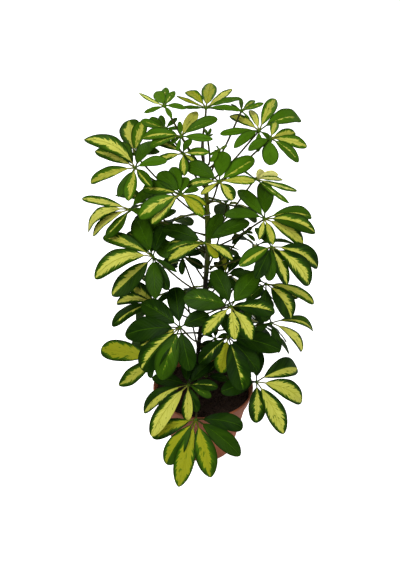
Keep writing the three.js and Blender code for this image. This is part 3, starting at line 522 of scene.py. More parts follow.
# Each leaf below has the mark of its hub, how far the hub is behind the stem's line, the
# height of its foot, the direction and tilt of its face in degrees, its longest leaflet, its
# leaflets' width against the usual width, each leaflet's yellow, and the leaflets' tip marks.
# After a tip come the share of its length that the leaflet bows, where it isn't the usual
# arch, and its width against the leaf's others. Yellow is how far it reaches from the midrib
# over the right and the left half, as seen from the hub, in tenths of the half, with 0 for
# none and 9 for all; then o if olive, c if cream.
SURVEYED_LEAVES = [
    ("v", (196, 419.5), -0.12, 0.168, -90, 50, 0.125, 1, "66o 80o 88o 75o 00 00",
     [(151.5, 436, 0.13), (166.5, 464.5, 0.14, 1.1), (178.5, 487, 0.1, 0.82), (211, 477.5, 0.12, 1.05),
      (240.5, 455.5, 0.1, 0.9), (243, 427, 0.16)]),
    ("u", (188, 385), -0.085, 0.19, -100, 45, 0.1, 1.05, "00 08 69 69 00 20 02 00 00",
     [(152, 378), (144, 413, 0.28, 0.7), (151, 436, 0.17, 0.78), (187, 421, 0.1, 0.85), (197, 412),
      (211, 397), (218, 387), (185, 360), (211, 362)]),
    ("s", (180, 327.5), -0.09, 0.246, -105, 50, 0.105, 1.18, "00 10 00 60 01 00 00 45",
     [(175, 287), (141, 303), (125, 335), (142, 370), (161, 380), (190, 371, 0.1, 1.1),
      (209.5, 315.5, 0.1, 1.3), (140, 346, 0.05)]),
    ("y", (231, 306.5), -0.09, 0.318, -85, 50, 0.09, 1.1, "00 20 77 87 68 03 00",
     [(214, 270, 0.1, 1.15), (183.5, 298, 0.07, 1.2), (203, 335), (235, 340, 0.1, 1.1),
      (252, 340, 0.1, 1.1), (275, 312), (258, 273, 0.1, 1.2)]),
    ("w", (256.5, 382), -0.06, 0.18, -50, 45, 0.105, 1.18, "80 87 86 44 00 00",
     [(297, 367.5, 0.18, 0.88), (302, 401.5, 0.16, 0.82), (284, 434, 0.1, 0.88), (256, 423, 0.1, 1.1),
      (254, 345), (221, 392)]),
    ("h", (219, 181.5), -0.045, 0.53, -85, 40, 0.075, 1.12, "00 40 88 84 80 88 44 00",
     [(224, 151.5, 0.1, 1.35), (254, 158, 0.05, 0.9), (255, 181, 0.05, 0.7), (233.5, 200, 0.13, 1.35),
      (227, 197, 0.1, 0.85), (200.5, 194.5, 0, 0.7), (186, 186, 0.1, 0.7), (187, 165, 0.1, 1.1)]),
    ("n", (181, 194.5), -0.07, 0.512, -110, 40, 0.08, 1, "00 00 00 04 44 77 88o 88o 00",
     [(172, 167, 0.1, 1.1), (186, 177, 0.1, 1.4), (158, 173, 0.1, 1.2), (143, 188),
      (139, 217.5, 0.1, 1.1), (151.5, 224), (204, 215.5, 0.1, 1.1), (206, 205, 0.1, 0.9), (199, 189)]),
    ("m", (205, 243), -0.06, 0.42, -95, 40, 0.085, 1, "00 10 00 44 33 76 88o 77",
     [(221.5, 213.5, 0.05, 1.1), (249.5, 222, 0.12, 0.9), (162, 229), (167.5, 243.5, 0.1, 0.5),
      (166, 252, 0.1, 0.7), (168, 261, 0.1, 0.8), (218, 258, 0.1, 1.7), (233, 260, 0.15, 0.8)]),
    ("l", (271.5, 247), -0.05, 0.402, -60, 45, 0.095, 1.05, "62 64 47 00 05 00 00",
     [(318, 267, 0.2, 0.85), (309.5, 285, 0.18, 1.05), (287, 285, 0.05, 0.9), (269, 281),
      (239, 266, 0.14), (256, 279, 0.1, 1.15), (255, 228)]),
    ("q", (153, 257), -0.04, 0.353, -120, 40, 0.1, 1.1, "45 40 00 00 67 70 00 00 00",
     [(103, 237, 0.14, 0.65), (127, 233, 0.1, 0.7), (136, 218), (165, 226), (94.5, 278, 0.26, 0.85),
      (112, 296, -0.01), (156, 299, 0.1, 1.15), (168, 290, 0.1, 0.8), (177, 272, 0.04, 0.5)]),
    ("aa", (228, 337), -0.04, 0.232, -80, 45, 0.095, 1.1, "03 77o 02 00 00 00",
     [(199, 364), (221, 373, 0.1, 1.3), (243, 390, 0.1, 1.1), (258, 372), (281, 350), (222, 312)]),
    ("j", (264.5, 219), -0.03, 0.44, -55, 40, 0.09, 1.05, "00 00 00 50 05 78 77 66",
     [(265, 182, 0.05), (238, 190), (224.5, 215, 0.14, 0.8), (311.5, 216.5, 0.16, 0.7),
      (315.5, 233, 0.15, 0.85), (303, 244, 0.1, 0.85), (273, 245), (259, 240)]),
    ("o", (135, 168), -0.02, 0.52, -150, 35, 0.085, 0.95, "66 36 58 00 46 50 20 00 00",
     [(84, 139.5, 0.24, 0.9), (95, 151, 0.1, 0.8), (90.5, 182, 0.08, 0.8), (118, 197, 0.03, 1.1),
      (128.5, 201, 0.05, 1.2), (152, 187, 0.07, 0.85), (120, 143, 0.05, 0.85), (152, 141, 0.07, 1.25),
      (167, 161)]),
    ("p", (130, 209.5), 0, 0.462, -160, 35, 0.09, 0.85, "66c 88c 88c 40 00 00",
     [(82, 198.5, 0.05, 0.6), (88, 232, 0.24, 0.85), (93, 236, 0.12, 0.8), (106, 237, -0.04, 1.4),
      (150, 218), (158, 188, 0.1, 1.4)]),
    ("g2", (270.5, 138.5), -0.005, 0.538, -60, 40, 0.08, 1, "00 00 00 02 65 00 57 66",
     [(248, 150.5), (270, 165.5, 0, 1.8), (263, 156, 0), (298.7, 162, 0.09, 0.85),
      (307, 146.4, 0.07, 0.85), (291, 139, 0.03, 0.6), (295.5, 133, 0.07, 0.9), (276, 122)]),
    ("g1", (259, 131), 0.015, 0.56, -60, 35, 0.085, 0.9, "86 88c 00 00 56 30 00 00",
     [(229.5, 116, 0.1, 0.9), (250, 110, 0.1, 0.9), (220, 134, 0.05, 0.6), (233.7, 148, 0.14, 0.9),
      (275.5, 98.8, 0.1, 0.85), (300, 118.5, 0.14, 0.85), (272, 142), (258, 152)]),
    ("d", (181, 136.5), -0.015, 0.575, -110, 40, 0.075, 0.95, "99 00 20 00 04 03 00 00",
     [(197, 111.5, 0.04, 1.05), (179.5, 121.5, 0), (217.5, 118.5, 0.1, 0.85), (213, 139.3, 0.03, 0.85),
      (142, 138.5, 0.14, 0.85), (150, 147, 0.1, 0.8), (169.5, 144, 0), (177, 151, 0)]),
    ("e", (183, 153.5), -0.01, 0.55, -110, 45, 0.065, 0.9, "60 55 55 65 44 00",
     [(209.4, 152.5, 0.08), (197, 164, 0.06, 1.1), (184.5, 176, 0.03, 1.3), (155, 162, 0.06, 0.85),
      (152, 140, 0.1, 0.75), (192, 140)]),
    ("a", (206, 108), 0, 0.59, -90, 20, 0.075, 0.65, "88o 77o 77o 00 88c 20 00 00",
     [(211, 83, 0.03, 1.5), (185.5, 92, 0.13, 1.2), (176.5, 96, 0, 0.5), (183, 107, 0, 0.8),
      (232, 89, 0.01, 0.75), (241.5, 98.5, 0.06, 0.7), (241, 110.5, 0.06, 0.8),
      (224, 110.5, 0.04, 0.6)]),
    ("b", (164.5, 106), -0.005, 0.582, -135, 25, 0.05, 0.8, "66 00 00 22 02 00 00",
     [(139, 93, -0.04, 0.5), (144, 112.5, 0, 0.9), (156, 91.5, 0.05, 1.3), (165.5, 87.5, 0),
      (174.5, 91, 0.02, 1.3), (186, 109), (172, 118, 0.05)]),
    ("c", (165.5, 128.6), 0.01, 0.567, -120, 35, 0.045, 0.9, "11 00 00 22 00 00 00",
     [(150, 118, 0), (160, 115.5, 0), (177, 118, 0.02), (141, 120.5, 0), (179, 128, 0), (155, 134, 0),
      (177, 136, 0)]),
    ("f", (241.5, 111), 0.025, 0.584, -60, 25, 0.045, 0.6, "00 33 22 00 00",
     [(241, 98.5, 0), (255, 100.5, 0.05), (263.5, 103, 0), (231, 104, 0), (250, 119, 0)]),
    ("h0", (219, 150), -0.005, 0.571, -70, 35, 0.03, 0.8, "00 22 00 00 00",
     [(216.5, 145.5, 0), (227, 145.5, 0), (209.5, 155, 0), (214, 150.5, 0), (211, 162, 0)]),
    ("i", (255.5, 179), 0.02, 0.468, -50, 40, 0.08, 0.42, "99c 99c 66c 44 22 00",
     [(263, 170, 0.03, 2.4), (278, 174, 0.05, 1.8), (283, 180, 0.05), (297, 191, 0), (289.5, 203.5, 0),
      (241, 169, 0)]),
    ("k", (244.5, 233), 0.01, 0.395, -70, 40, 0.04, 0.85, "00 00 44 33 00",
     [(232, 244), (253, 233), (241, 227, 0), (252, 227, 0), (255, 241)]),
    ("z", (266, 284), -0.01, 0.3, -60, 40, 0.095, 0.95, "00 57 06 50 00 20",
     [(232, 273), (314, 303.5, 0.14, 0.6), (291, 319, 0.2, 1.5), (298, 298), (265, 322, 0.03, 1.15),
      (246, 302)]),
    ("x", (271, 323), -0.01, 0.262, -50, 45, 0.085, 0.85, "60 88c 00 00 00",
     [(313, 331, 0.3, 0.7), (302, 351, 0.2, 0.8), (279, 353, 0.05, 1.2), (250, 335, 0.05), (262, 300)]),
    ("r", (156, 303), 0, 0.286, -150, 45, 0.085, 1, "46 66 03 00 00 00",
     [(132, 286, 0.04), (116.5, 303, 0.16, 0.75), (112, 326, 0.15, 0.85), (136, 320), (172, 294),
      (162, 325)]),
    ("t", (155, 358.5), -0.02, 0.206, -150, 45, 0.11, 1.1, "88o 56 00 00 00",
     [(101, 349, 0.05), (118.5, 385, -0.02, 0.8), (150, 378), (136, 336), (176, 346)]),
    ("o2", (134, 154), 0.02, 0.5, -150, 25, 0.065, 1.1, "46 64 00 00",
     [(129, 120, 0.03), (142.5, 121, 0.03), (114, 152), (160, 152)]),
    ("ba", (226, 275), 0.012, 0.335, -70, 40, 0.075, 1, "00 66o 20 00 00 00 00",
     [(214, 262), (222, 250), (240, 256), (246, 272), (237, 292), (222, 300), (208, 286)]),
    ("bb", (250, 302), 0.03, 0.276, -50, 40, 0.075, 1, "00 20 00 00 00 00",
     [(240, 282), (263, 288), (274, 305), (263, 324), (245, 326), (231, 312)]),
    ("bc", (206, 376), -0.038, 0.176, -85, 35, 0.08, 1, "00 00 20 00 00",
     [(188, 362), (204, 350), (219, 360), (228, 380), (183, 376)]),
    ("bd", (160, 335), 0.03, 0.262, -140, 40, 0.08, 1, "00 00 20 00 00 00",
     [(138, 320), (152, 310), (172, 314), (178, 340), (154, 360), (135, 346)]),
    ("be", (160, 222), 0.025, 0.428, -140, 40, 0.07, 1, "00 00 00 00 10 00",
     [(145, 205), (158, 198), (176, 210), (178, 232), (162, 244), (144, 238)]),
    ("bf", (287, 262), 0.015, 0.372, -50, 40, 0.07, 1, "00 10 03 00 00 00",
     [(270, 250), (290, 244), (305, 258), (303, 276), (284, 284), (268, 274)]),
    ("bg", (182, 257), 0.015, 0.344, -105, 40, 0.07, 1.05, "00 00 10 00 00 00",
     [(161, 243), (162, 264), (182, 275), (203, 268), (201, 252), (184, 240)]),
    ("bh", (215, 339), -0.005, 0.236, -85, 40, 0.065, 1, "00 00 00 20 00 00",
     [(201, 351), (203, 332), (216, 325), (229, 335), (228, 350), (214, 357)]),
    ("bi", (150, 234), 0.02, 0.4, -130, 40, 0.07, 1, "00 00 00 00 00 00",
     [(136, 216), (149, 214), (163, 224), (170, 257, 0.1, 1.4), (152, 252), (137, 246)]),
    ("tip", (208, 137), 0.003, 0.586, -70, 20, 0.022, 0.7, "00 00 00",
     [(205, 129, 0), (211, 128, 0), (213, 134, 0)]),
]
YOUNG_LEAVES = ("b", "i", "h0", "tip")

# The far side of the plant carries leaves of the same kind. They climb in even steps, and
# each is turned from the one before it by the golden share of the whole range.
FAR_LEAVES = 9
FAR_LOWEST = 0.240
FAR_HIGHEST = 0.515
FAR_FIRST_TURN = 22
FAR_TURN_RANGE = 140
GOLDEN_SHARE = 0.618
FAR_REACH = 0.112
FAR_FOOT_BELOW = 0.066
FAR_TILT = 38
FAR_LENGTH = 0.084
FAR_SHORTER = 0.14
FAR_PAINT = "00 66 05 00 76 00 20"


def ray_through(mark):
    """Unit direction from the eye through a mark of the photograph."""
    across = (mark[0] - VIEW_MIDDLE[0]) / FOCAL_PIXELS
    up = (VIEW_MIDDLE[1] - mark[1]) / FOCAL_PIXELS
    ray = FORWARD + across * np.array([1, 0, 0]) + up * VIEW_UP
    return ray / np.linalg.norm(ray)


def face_normal(faces, tilt):
    """Unit direction that a leaf's face looks in: turned by faces, leaned by tilt from upright."""
    turn, lean = np.radians([faces, tilt])
    return np.array([np.cos(turn) * np.sin(lean), np.sin(turn) * np.sin(lean), np.cos(lean)])


def surveyed_leaf(name, hub_mark, behind, foot, faces, tilt, longest, width, paint, tip_marks):
    """A leaf in a plane through its hub: each tip is where its ray meets the lowered plane."""
    hub_ray = ray_through(hub_mark)
    hub = EYE + hub_ray * (behind - EYE[1]) / hub_ray[1]
    normal = face_normal(faces, tilt)
    leaflets = []
    for (across, down, *own), yellow in zip(tip_marks, paint.split()):
        ray = ray_through((across, down))
        nearest = (hub - EYE) @ ray
        miss = np.linalg.norm(EYE + ray * nearest - hub)
        slack = np.sqrt(max(longest ** 2 - miss ** 2, 0))
        plane = (normal @ (hub - EYE) - LEAFLET_DROOP * longest) / (normal @ ray)
        reach = np.clip(plane, nearest - slack, nearest + slack)
        arch, wide = own + [LEAFLET_ARCH, 1][len(own):]
        leaflets.append((EYE + ray * reach, ray, arch, width * wide, yellow))
    to_eye = (EYE - hub) / np.linalg.norm(EYE - hub)
    facing = normal + TURNED_TO_EYE * to_eye
    facing /= np.linalg.norm(facing)
    return f"leaf_{name}", hub, normal, facing, foot, leaflets


def far_leaf(index):
    """A leaf that faces away from the front, with its leaflets fanned evenly round its hub."""
    turn = np.radians(FAR_FIRST_TURN + FAR_TURN_RANGE * ((index * GOLDEN_SHARE) % 1))
    height = FAR_LOWEST + (FAR_HIGHEST - FAR_LOWEST) * (index + 0.5) / FAR_LEAVES
    out = np.array([np.cos(turn), np.sin(turn), 0])
    hub = FAR_REACH * out + np.array([0, 0, height])
    normal = face_normal(np.degrees(turn), FAR_TILT)
    ahead = out - normal * (out @ normal)
    ahead /= np.linalg.norm(ahead)
    side = np.cross(normal, ahead)
    leaflets = []
    paint = FAR_PAINT.split()
    for k, yellow in enumerate(paint):
        angle = 2 * np.pi * (k + 0.5 * (index % 2)) / len(paint)
        length = FAR_LENGTH * (1 - FAR_SHORTER + FAR_SHORTER * np.cos(angle))
        tip = hub + length * (ahead * np.cos(angle) + side * np.sin(angle) - LEAFLET_DROOP * normal)
        leaflets.append((tip, normal, LEAFLET_ARCH, 1, yellow))
    return f"leaf_far_{index + 1}", hub, normal, normal, height - FAR_FOOT_BELOW, leaflets


# In the CAD leaves some tips are bent and some feet lifted, to keep the leaves clear of each
# other. A tip or a foot is looked for within these distances of where the survey has it.
MOST_BEND = 0.051
TIP_MISS = 0.0003
MOST_LIFT = 0.028
FOOT_CORNERS = 3


def node_points(name):
    """Corners of a CAD node in metres."""
    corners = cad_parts[name].data.vertices
    points = np.empty(3 * len(corners))
    corners.foreach_get("co", points)
    return points.reshape(-1, 3)


def standing_tip(corners, tip, bend):
    """Where the CAD leaf has the tip: its corner nearest to the line that the leaflet bends along."""
    along = (corners - tip) @ bend
    miss = np.linalg.norm(corners - tip - along[:, None] * bend, axis=1)
    miss[np.abs(along) > MOST_BEND] = np.inf
    return corners[miss.argmin()] if miss.min() < TIP_MISS else tip


def standing_foot(corners, height):
    """Middle of the CAD stalk's end at the stem: the mean of its corners nearest the stem."""
    middle = np.stack([np.interp(corners[:, 2], stem_path[:, 2], stem_path[:, k]) for k in (0, 1)], axis=1)
    reach = np.linalg.norm(corners[:, :2] - middle, axis=1)
    reach[np.abs(corners[:, 2] - height) > MOST_LIFT] = np.inf
    return corners[np.argsort(reach)[:FOOT_CORNERS]].mean(axis=0)


BLADE_START = 0.13
BLADE_HALF_WIDTH = 0.176
BLADE_BEGINNING = 0.78
BLADE_ENDING = (0.45, 0.72)
BLADE_THICKNESS = 0.0005
BLADE_FOLD = (0.10, 0.20)
BLADE_WAVES = (1.6, 2.8)
WAVE_HEIGHT = 0.012
RIB_DEPTH = 0.0009
RIB_WIDTH = 0.08
STALKLET_RADIUS = 0.0013
BLADE_COLUMNS = np.array([-1, -0.97, -0.8, -0.58, -0.34, -0.12, 0, 0.12, 0.34, 0.58, 0.8, 0.97, 1])
BLADE_ROWS = 24
STALKLET_ROWS = 4
HUB_WOODINESS = 0.4
NO_YELLOW = -0.8
ALL_YELLOW = 1.6
TONES = {"o": 0.65, "c": -0.5}
PAINT_NAMES = ("along", "across", "yellow", "seed", "under", "woody", "tone")


def leaflet(hub, tip, facing, arch, width, yellow, chance):
    """One leaflet as rings of points from the hub to the tip, and its paint values.

    At a share s of the blade its half width is w s^b (1 - s)^p over its greatest value, with a
    p of its own that makes its end round or pointed. At a share a of its length the spine is
    moved by 4 arch a (1 - a) towards its upper side, and its halves rise in a shallow V.
    """
    chord = tip - hub
    length = np.linalg.norm(chord)
    across = np.cross(facing, chord)
    across /= np.linalg.norm(across)
    above = np.cross(chord, across)
    above /= np.linalg.norm(above)
    bow = facing + np.array([0, 0, 1])
    bow -= chord * (bow @ chord) / length ** 2
    bow /= np.linalg.norm(bow)
    stalk_share = np.linspace(0, BLADE_START, STALKLET_ROWS, endpoint=False)
    blade_place = 0.5 - 0.5 * np.cos(np.pi * np.linspace(0.02, 0.985, BLADE_ROWS))
    share = np.concatenate([stalk_share, BLADE_START + (1 - BLADE_START) * blade_place])[:, None]
    place = np.concatenate([np.zeros(STALKLET_ROWS), blade_place])[:, None]
    ending = chance.uniform(*BLADE_ENDING)
    widest = BLADE_BEGINNING / (BLADE_BEGINNING + ending)
    outline = (place / widest) ** BLADE_BEGINNING * ((1 - place) / (1 - widest)) ** ending
    half = BLADE_HALF_WIDTH * width * length * chance.uniform(0.95, 1.05) * outline
    half = np.maximum(half, STALKLET_RADIUS * np.clip(1.4 - place * 1.4, 0.3, 1))
    inner = BLADE_COLUMNS[-2:0:-1]
    sides = np.concatenate([BLADE_COLUMNS, inner])[None, :]
    under = np.concatenate([np.zeros(len(BLADE_COLUMNS)), np.ones(len(inner))])[None, :]
    flat = np.clip(place / 0.08, 0, 1)
    round_depth = STALKLET_RADIUS * np.sqrt(1 - sides ** 2)
    blade_depth = BLADE_THICKNESS / 2 * (1 - sides ** 8)
    rib_depth = RIB_DEPTH * (1 - place) * np.exp(-(sides / RIB_WIDTH) ** 2) * under
    depth = round_depth * (1 - flat) + (blade_depth + rib_depth) * flat
    fold = chance.uniform(*BLADE_FOLD)
    wave_phase = place * chance.uniform(*BLADE_WAVES) + chance.uniform()
    wave = WAVE_HEIGHT * length * np.sin(2 * np.pi * wave_phase) * np.sign(sides) * chance.choice([-1, 1])
    rise = (flat * (fold * half * (sides ** 2 - 0.35) + wave * sides ** 2 * outline * 0.8)
            + np.where(under > 0, -depth, depth))
    points = (hub + chord * share[..., None] + bow * (arch * length * 4 * share * (1 - share))[..., None]
              + across * (half * sides)[..., None] + above * rise[..., None])
    right, left = ({"0": NO_YELLOW, "9": ALL_YELLOW}.get(digit, int(digit) / 10) for digit in yellow[:2])
    full = np.ones_like(rise)
    paint = np.stack([place * full, sides * full, np.where(sides < 0, right, left) * full,
                      chance.uniform() * full, under * full,
                      HUB_WOODINESS * (np.arange(len(share)) < STALKLET_ROWS)[:, None] * full,
                      TONES.get(yellow[2:], 0) * full], axis=-1)
    return points, paint


STALK_RADIUS = 0.0018
STALK_START = 0.15
STALK_END = 0.24
STALK_SAG = 0.08
FOOT_SWELL = 0.5
FOOT_LENGTH = 0.05
STALK_RINGS = 26
STALK_SIDES = 8
HUB_RADIUS = 0.0032
HUB_POLE = 0.2
HUB_ROWS = 7
HUB_COLUMNS = 10


def leaf_stalk(foot, hub, normal):
    """A tube on a cubic curve, almost straight, from a swollen foot at the stem to under the hub."""
    out = foot - path_at(stem_path, foot[2])
    out[2] = 0
    out /= np.linalg.norm(out)
    way = hub - foot
    reach = np.linalg.norm(way)
    leaves_stem = foot + STALK_START * (way + reach * out)
    meets_hub = hub - STALK_END * way - STALK_SAG * reach * normal
    t = np.linspace(0, 1, STALK_RINGS)[:, None]
    path = ((1 - t) ** 3 * foot + 3 * (1 - t) ** 2 * t * leaves_stem
            + 3 * (1 - t) * t ** 2 * meets_hub + t ** 3 * hub)
    radii = STALK_RADIUS * (0.9 + FOOT_SWELL * np.exp(-(t[:, 0] / FOOT_LENGTH) ** 2))
    return tube(path, radii, STALK_SIDES)


def leaf_hub(hub):
    """The small ball where a leaf's stalk ends and its leaflets begin."""
    down = np.linspace(HUB_POLE, np.pi - HUB_POLE, HUB_ROWS)[:, None, None]
    turns = np.linspace(0, -2 * np.pi, HUB_COLUMNS, endpoint=False)[None, :, None]
    ball = np.concatenate([np.sin(down) * np.cos(turns), np.sin(down) * np.sin(turns),
                           np.cos(down) * np.ones_like(turns)], axis=-1)
    return hub + HUB_RADIUS * ball


def set_paint(piece, paint):
    """Stores the paint values of every corner under their names."""
    for name, values in zip(PAINT_NAMES, paint.reshape(-1, len(PAINT_NAMES)).T):
        attribute = piece.data.attributes.new(name, "FLOAT", "POINT")
        attribute.data.foreach_set("value", np.ascontiguousarray(values, dtype=np.float32))


def grow_leaf(name, hub, normal, facing, foot_height, leaflets, material, chance):
    """One leaf in place of its CAD node: stalk, hub and leaflets."""
    corners = node_points(name)
    foot = standing_foot(corners, foot_height)
    rings = [leaf_stalk(foot, hub, normal), leaf_hub(hub)]
    paints = [np.zeros((*part.shape[:2], len(PAINT_NAMES))) for part in rings]
    for part, woodiness in zip(paints, (1, HUB_WOODINESS)):
        part[..., PAINT_NAMES.index("woody")] = woodiness
    for tip, bend, *form in leaflets:
        points, paint = leaflet(hub, standing_tip(corners, tip, bend), facing, *form, chance)
        rings.append(points)
        paints.append(paint)
    faces = []
    start = 0
    for part in rings:
        faces += loft_faces(part.shape[0], part.shape[1], start)
        start += part.shape[0] * part.shape[1]
    points = np.concatenate([part.reshape(-1, 3) for part in rings])
    leaf = add_piece(name.replace("leaf", "palm"), points, faces, material)
    set_paint(leaf, np.concatenate([part.reshape(-1, len(PAINT_NAMES)) for part in paints]))
    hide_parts(name)
    return leaf


# The leaf markings. The yellow lies along the midrib and ends in teeth that follow the side
# veins; green flecks stand in it, a narrow green edge stays round it, and stalks are brown.
# The green also carries painted light, lighter on higher leaves, and painted shade at each leaflet's
# edges.
VEIN_SLANT = 0.32
VEIN_WAVES = 62.0
VEIN_HEIGHT = 0.25
MIDRIB_HEIGHT = -1.2
YELLOW_SHORT = 0.13
YELLOW_TAPER = 0.3
YELLOW_LOBES = 0.7
YELLOW_TEETH = 0.8
FLECK_COVER = 0.8
# Painted light: from these heights up, leaves get more of the lighter mid green, as light from above
# painted in. Each leaflet's seed adds a real random tone on top.
TOP_LIGHT_FROM = 0.36
TOP_LIGHT_ABOVE = 0.78
TONE_SPREAD = 0.7
LIGHT_AND_TONE_LOSS = 0.37
UNDERSIDE_COLOUR = (0.06, 0.11, 0.02)
STALK_COLOUR = (0.035, 0.038, 0.008)


def leaf_markings():
    """A node group from a leaflet's own values to its colour, its bump height and roughness."""
    group = bpy.data.node_groups.new("leaf_markings", "ShaderNodeTree")
    for name in ("Dark", "Mid", "Yellow", "Olive"):
        group.interface.new_socket(name, in_out="INPUT", socket_type="NodeSocketColor")
    group.interface.new_socket("Color", in_out="OUTPUT", socket_type="NodeSocketColor")
    group.interface.new_socket("Height", in_out="OUTPUT", socket_type="NodeSocketFloat")
    group.interface.new_socket("Roughness", in_out="OUTPUT", socket_type="NodeSocketFloat")
    nodes, links = group.nodes, group.links
    given = nodes.new("NodeGroupInput")
    result = nodes.new("NodeGroupOutput")
    value = {}
    for name in PAINT_NAMES:
        node = nodes.new("ShaderNodeAttribute")
        node.attribute_name = name
        value[name] = node.outputs["Fac"]

    place = nodes.new("ShaderNodeTexCoord")
    parted = nodes.new("ShaderNodeSeparateXYZ")
    links.new(place.outputs["Object"], parted.inputs["Vector"])
    height_above = parted.outputs["Z"]

    def sum_up(operation, *terms, clamp=False):
        """A Math node over sockets or plain numbers."""
        node = nodes.new("ShaderNodeMath")
        node.operation = operation
        node.use_clamp = clamp
        for socket, term in zip(node.inputs, terms):
            if isinstance(term, (int, float)):
                socket.default_value = term
            else:
                links.new(term, socket)
        return node.outputs[0]

    aside = sum_up("ABSOLUTE", value["across"])
    side = sum_up("GREATER_THAN", value["across"], 0.0)
    vein_place = sum_up("MULTIPLY_ADD", aside, -VEIN_SLANT, value["along"])

    def vein_noise(scale, spread, offset):
        """Noise by scale along the side veins and by spread across them, new for each half leaflet."""
        spot = nodes.new("ShaderNodeCombineXYZ")
        links.new(sum_up("MULTIPLY", vein_place, scale), spot.inputs["X"])
        turned = sum_up("MULTIPLY_ADD", side, 7.3, offset)
        links.new(sum_up("MULTIPLY_ADD", aside, spread, turned), spot.inputs["Y"])
        links.new(sum_up("MULTIPLY", value["seed"], 91.0), spot.inputs["Z"])
        return noise(nodes, links, spot.outputs["Vector"], 1.0, 2.0, 0.5)

    broad = vein_noise(4.5, 0.3, 0.0)
    teeth = vein_noise(26.0, 0.6, 20.0)
    specks = vein_noise(9.0, 3.5, 40.0)
    streaks = vein_noise(34.0, 1.2, 60.0)
    to_tip = stepped(nodes, links, value["along"], 0.7, 1.0)
    narrowing = sum_up("MULTIPLY_ADD", to_tip, YELLOW_TAPER, YELLOW_SHORT)
    reach = sum_up("SUBTRACT", value["yellow"], narrowing)
    reach = sum_up("MULTIPLY_ADD", sum_up("SUBTRACT", broad, 0.5), YELLOW_LOBES, reach)
    reach = sum_up("MULTIPLY_ADD", sum_up("SUBTRACT", teeth, 0.5), YELLOW_TEETH, reach)
    inside = sum_up("SUBTRACT", reach, aside)
    yellow = stepped(nodes, links, inside, -0.02, 0.02)
    near = stepped(nodes, links, inside, -0.3, -0.05)
    flecks = stepped(nodes, links, specks, 0.64, 0.66)
    edge = sum_up("MULTIPLY_ADD", teeth, 0.12, aside)
    edge = sum_up("MAXIMUM", stepped(nodes, links, edge, 0.90, 0.94),
                  stepped(nodes, links, value["along"], 0.96, 0.985))
    edge = sum_up("MULTIPLY", edge, sum_up("LESS_THAN", value["yellow"], 1.0))
    marked = sum_up("MAXIMUM", edge, sum_up("MULTIPLY", flecks, FLECK_COVER))
    unmarked = sum_up("SUBTRACT", 1.0, marked)
    yellow = sum_up("MULTIPLY", yellow, unmarked)
    midrib = sum_up("SUBTRACT", 1.0, stepped(nodes, links, aside, 0.015, 0.06))

    patchy = stepped(nodes, links, broad, 0.35, 0.75)
    # Painted light mixed with real tone: the green is lighter higher up the plant, plus each leaflet's
    # random tone and broad patches.
    top_light_and_tone = stepped(nodes, links, height_above, TOP_LIGHT_FROM, TOP_LIGHT_ABOVE)
    top_light_and_tone = sum_up("MULTIPLY_ADD", value["seed"], TONE_SPREAD, top_light_and_tone)
    top_light_and_tone = sum_up("SUBTRACT", top_light_and_tone, LIGHT_AND_TONE_LOSS, clamp=True)
    top_light_and_tone = sum_up("MULTIPLY_ADD", patchy, 0.16, sum_up("MULTIPLY", top_light_and_tone, 0.8), clamp=True)
    green = blend(nodes, links, top_light_and_tone, given.outputs["Dark"], given.outputs["Mid"])
    green = blend(nodes, links, sum_up("MULTIPLY", near, 0.5), green, given.outputs["Mid"])
    green = blend(nodes, links, sum_up("MULTIPLY", midrib, 0.35), green, given.outputs["Mid"])
    # Painted shade: the green darkens towards each leaflet's edges, where the curled margin turns away
    # from the light.
    painted_edge_shade = sum_up("MULTIPLY", stepped(nodes, links, aside, 0.72, 1.0), 0.85)
    green = blend(nodes, links, painted_edge_shade, green, given.outputs["Dark"])
    tone = sum_up("FRACT", sum_up("MULTIPLY", value["seed"], 7.0))
    olive = sum_up("MULTIPLY_ADD", stepped(nodes, links, streaks, 0.4, 0.7), 0.4,
                   sum_up("MULTIPLY", tone, 0.45))
    olive = sum_up("MAXIMUM", olive, sum_up("MULTIPLY", midrib, 0.7))
    olive = sum_up("ADD", olive, value["tone"], clamp=True)
    gold = blend(nodes, links, olive, given.outputs["Yellow"], given.outputs["Olive"])
    colour = blend(nodes, links, yellow, green, gold)
    colour = blend(nodes, links, sum_up("MULTIPLY", value["under"], 0.35), colour, UNDERSIDE_COLOUR)
    colour = blend(nodes, links, value["woody"], colour, STALK_COLOUR)
    links.new(colour, result.inputs["Color"])

    vein_wave = sum_up("SINE", sum_up("MULTIPLY", vein_place, VEIN_WAVES))
    height = sum_up("MULTIPLY_ADD", vein_wave, VEIN_HEIGHT, sum_up("MULTIPLY", midrib, MIDRIB_HEIGHT))
    links.new(height, result.inputs["Height"])
    roughness = sum_up("MULTIPLY_ADD", value["under"], 0.25, 0.42)
    links.new(sum_up("MAXIMUM", roughness, sum_up("MULTIPLY", value["woody"], 0.5)),
              result.inputs["Roughness"])
    return group


LEAF_GLOSS = 0.035
VEIN_DEPTH = 0.0004
markings = leaf_markings()


def leaf_material(name, dark, mid, yellow, olive):
    """A waxy leaf: the markings in four colours, with the veins pressed in."""
    material, nodes, links, shader, _ = new_material(name)
    node = nodes.new("ShaderNodeGroup")
    node.node_tree = markings
    for socket, colour in zip(node.inputs, (dark, mid, yellow, olive)):
        socket.default_value = (*colour, 1)
    links.new(node.outputs["Color"], shader.inputs["Base Color"])
    links.new(node.outputs["Roughness"], shader.inputs["Roughness"])
    shader.inputs["Specular IOR Level"].default_value = LEAF_GLOSS
    bump(nodes, links, shader, node.outputs["Height"], VEIN_DEPTH)
    return material


leaf_green = leaf_material("leaf_green", (0.0034, 0.0148, 0.0001), (0.055, 0.139, 0.003),
                           (0.44, 0.44, 0.075), (0.21, 0.225, 0.008))
leaf_young = leaf_material("leaf_young", (0.024, 0.074, 0.002), (0.068, 0.150, 0.003),
                           (0.72, 0.70, 0.20), (0.28, 0.35, 0.02))

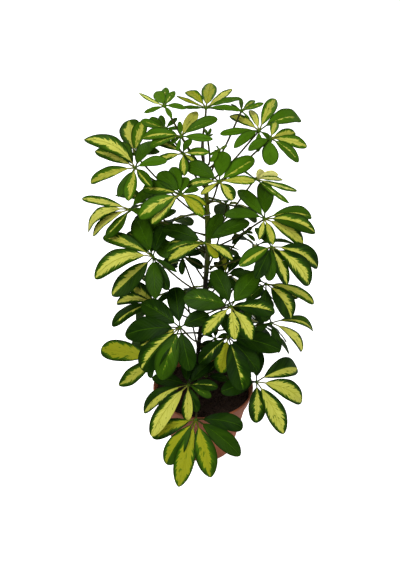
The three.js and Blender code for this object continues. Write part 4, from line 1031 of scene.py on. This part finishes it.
leaf_chance = np.random.default_rng(29)
survey = [surveyed_leaf(*row) for row in SURVEYED_LEAVES] + [far_leaf(k) for k in range(FAR_LEAVES)]
young_nodes = [f"leaf_{name}" for name in YOUNG_LEAVES]
for form in survey:
    is_young = form[0] in young_nodes
    leaf = grow_leaf(*form, leaf_young if is_young else leaf_green, leaf_chance)
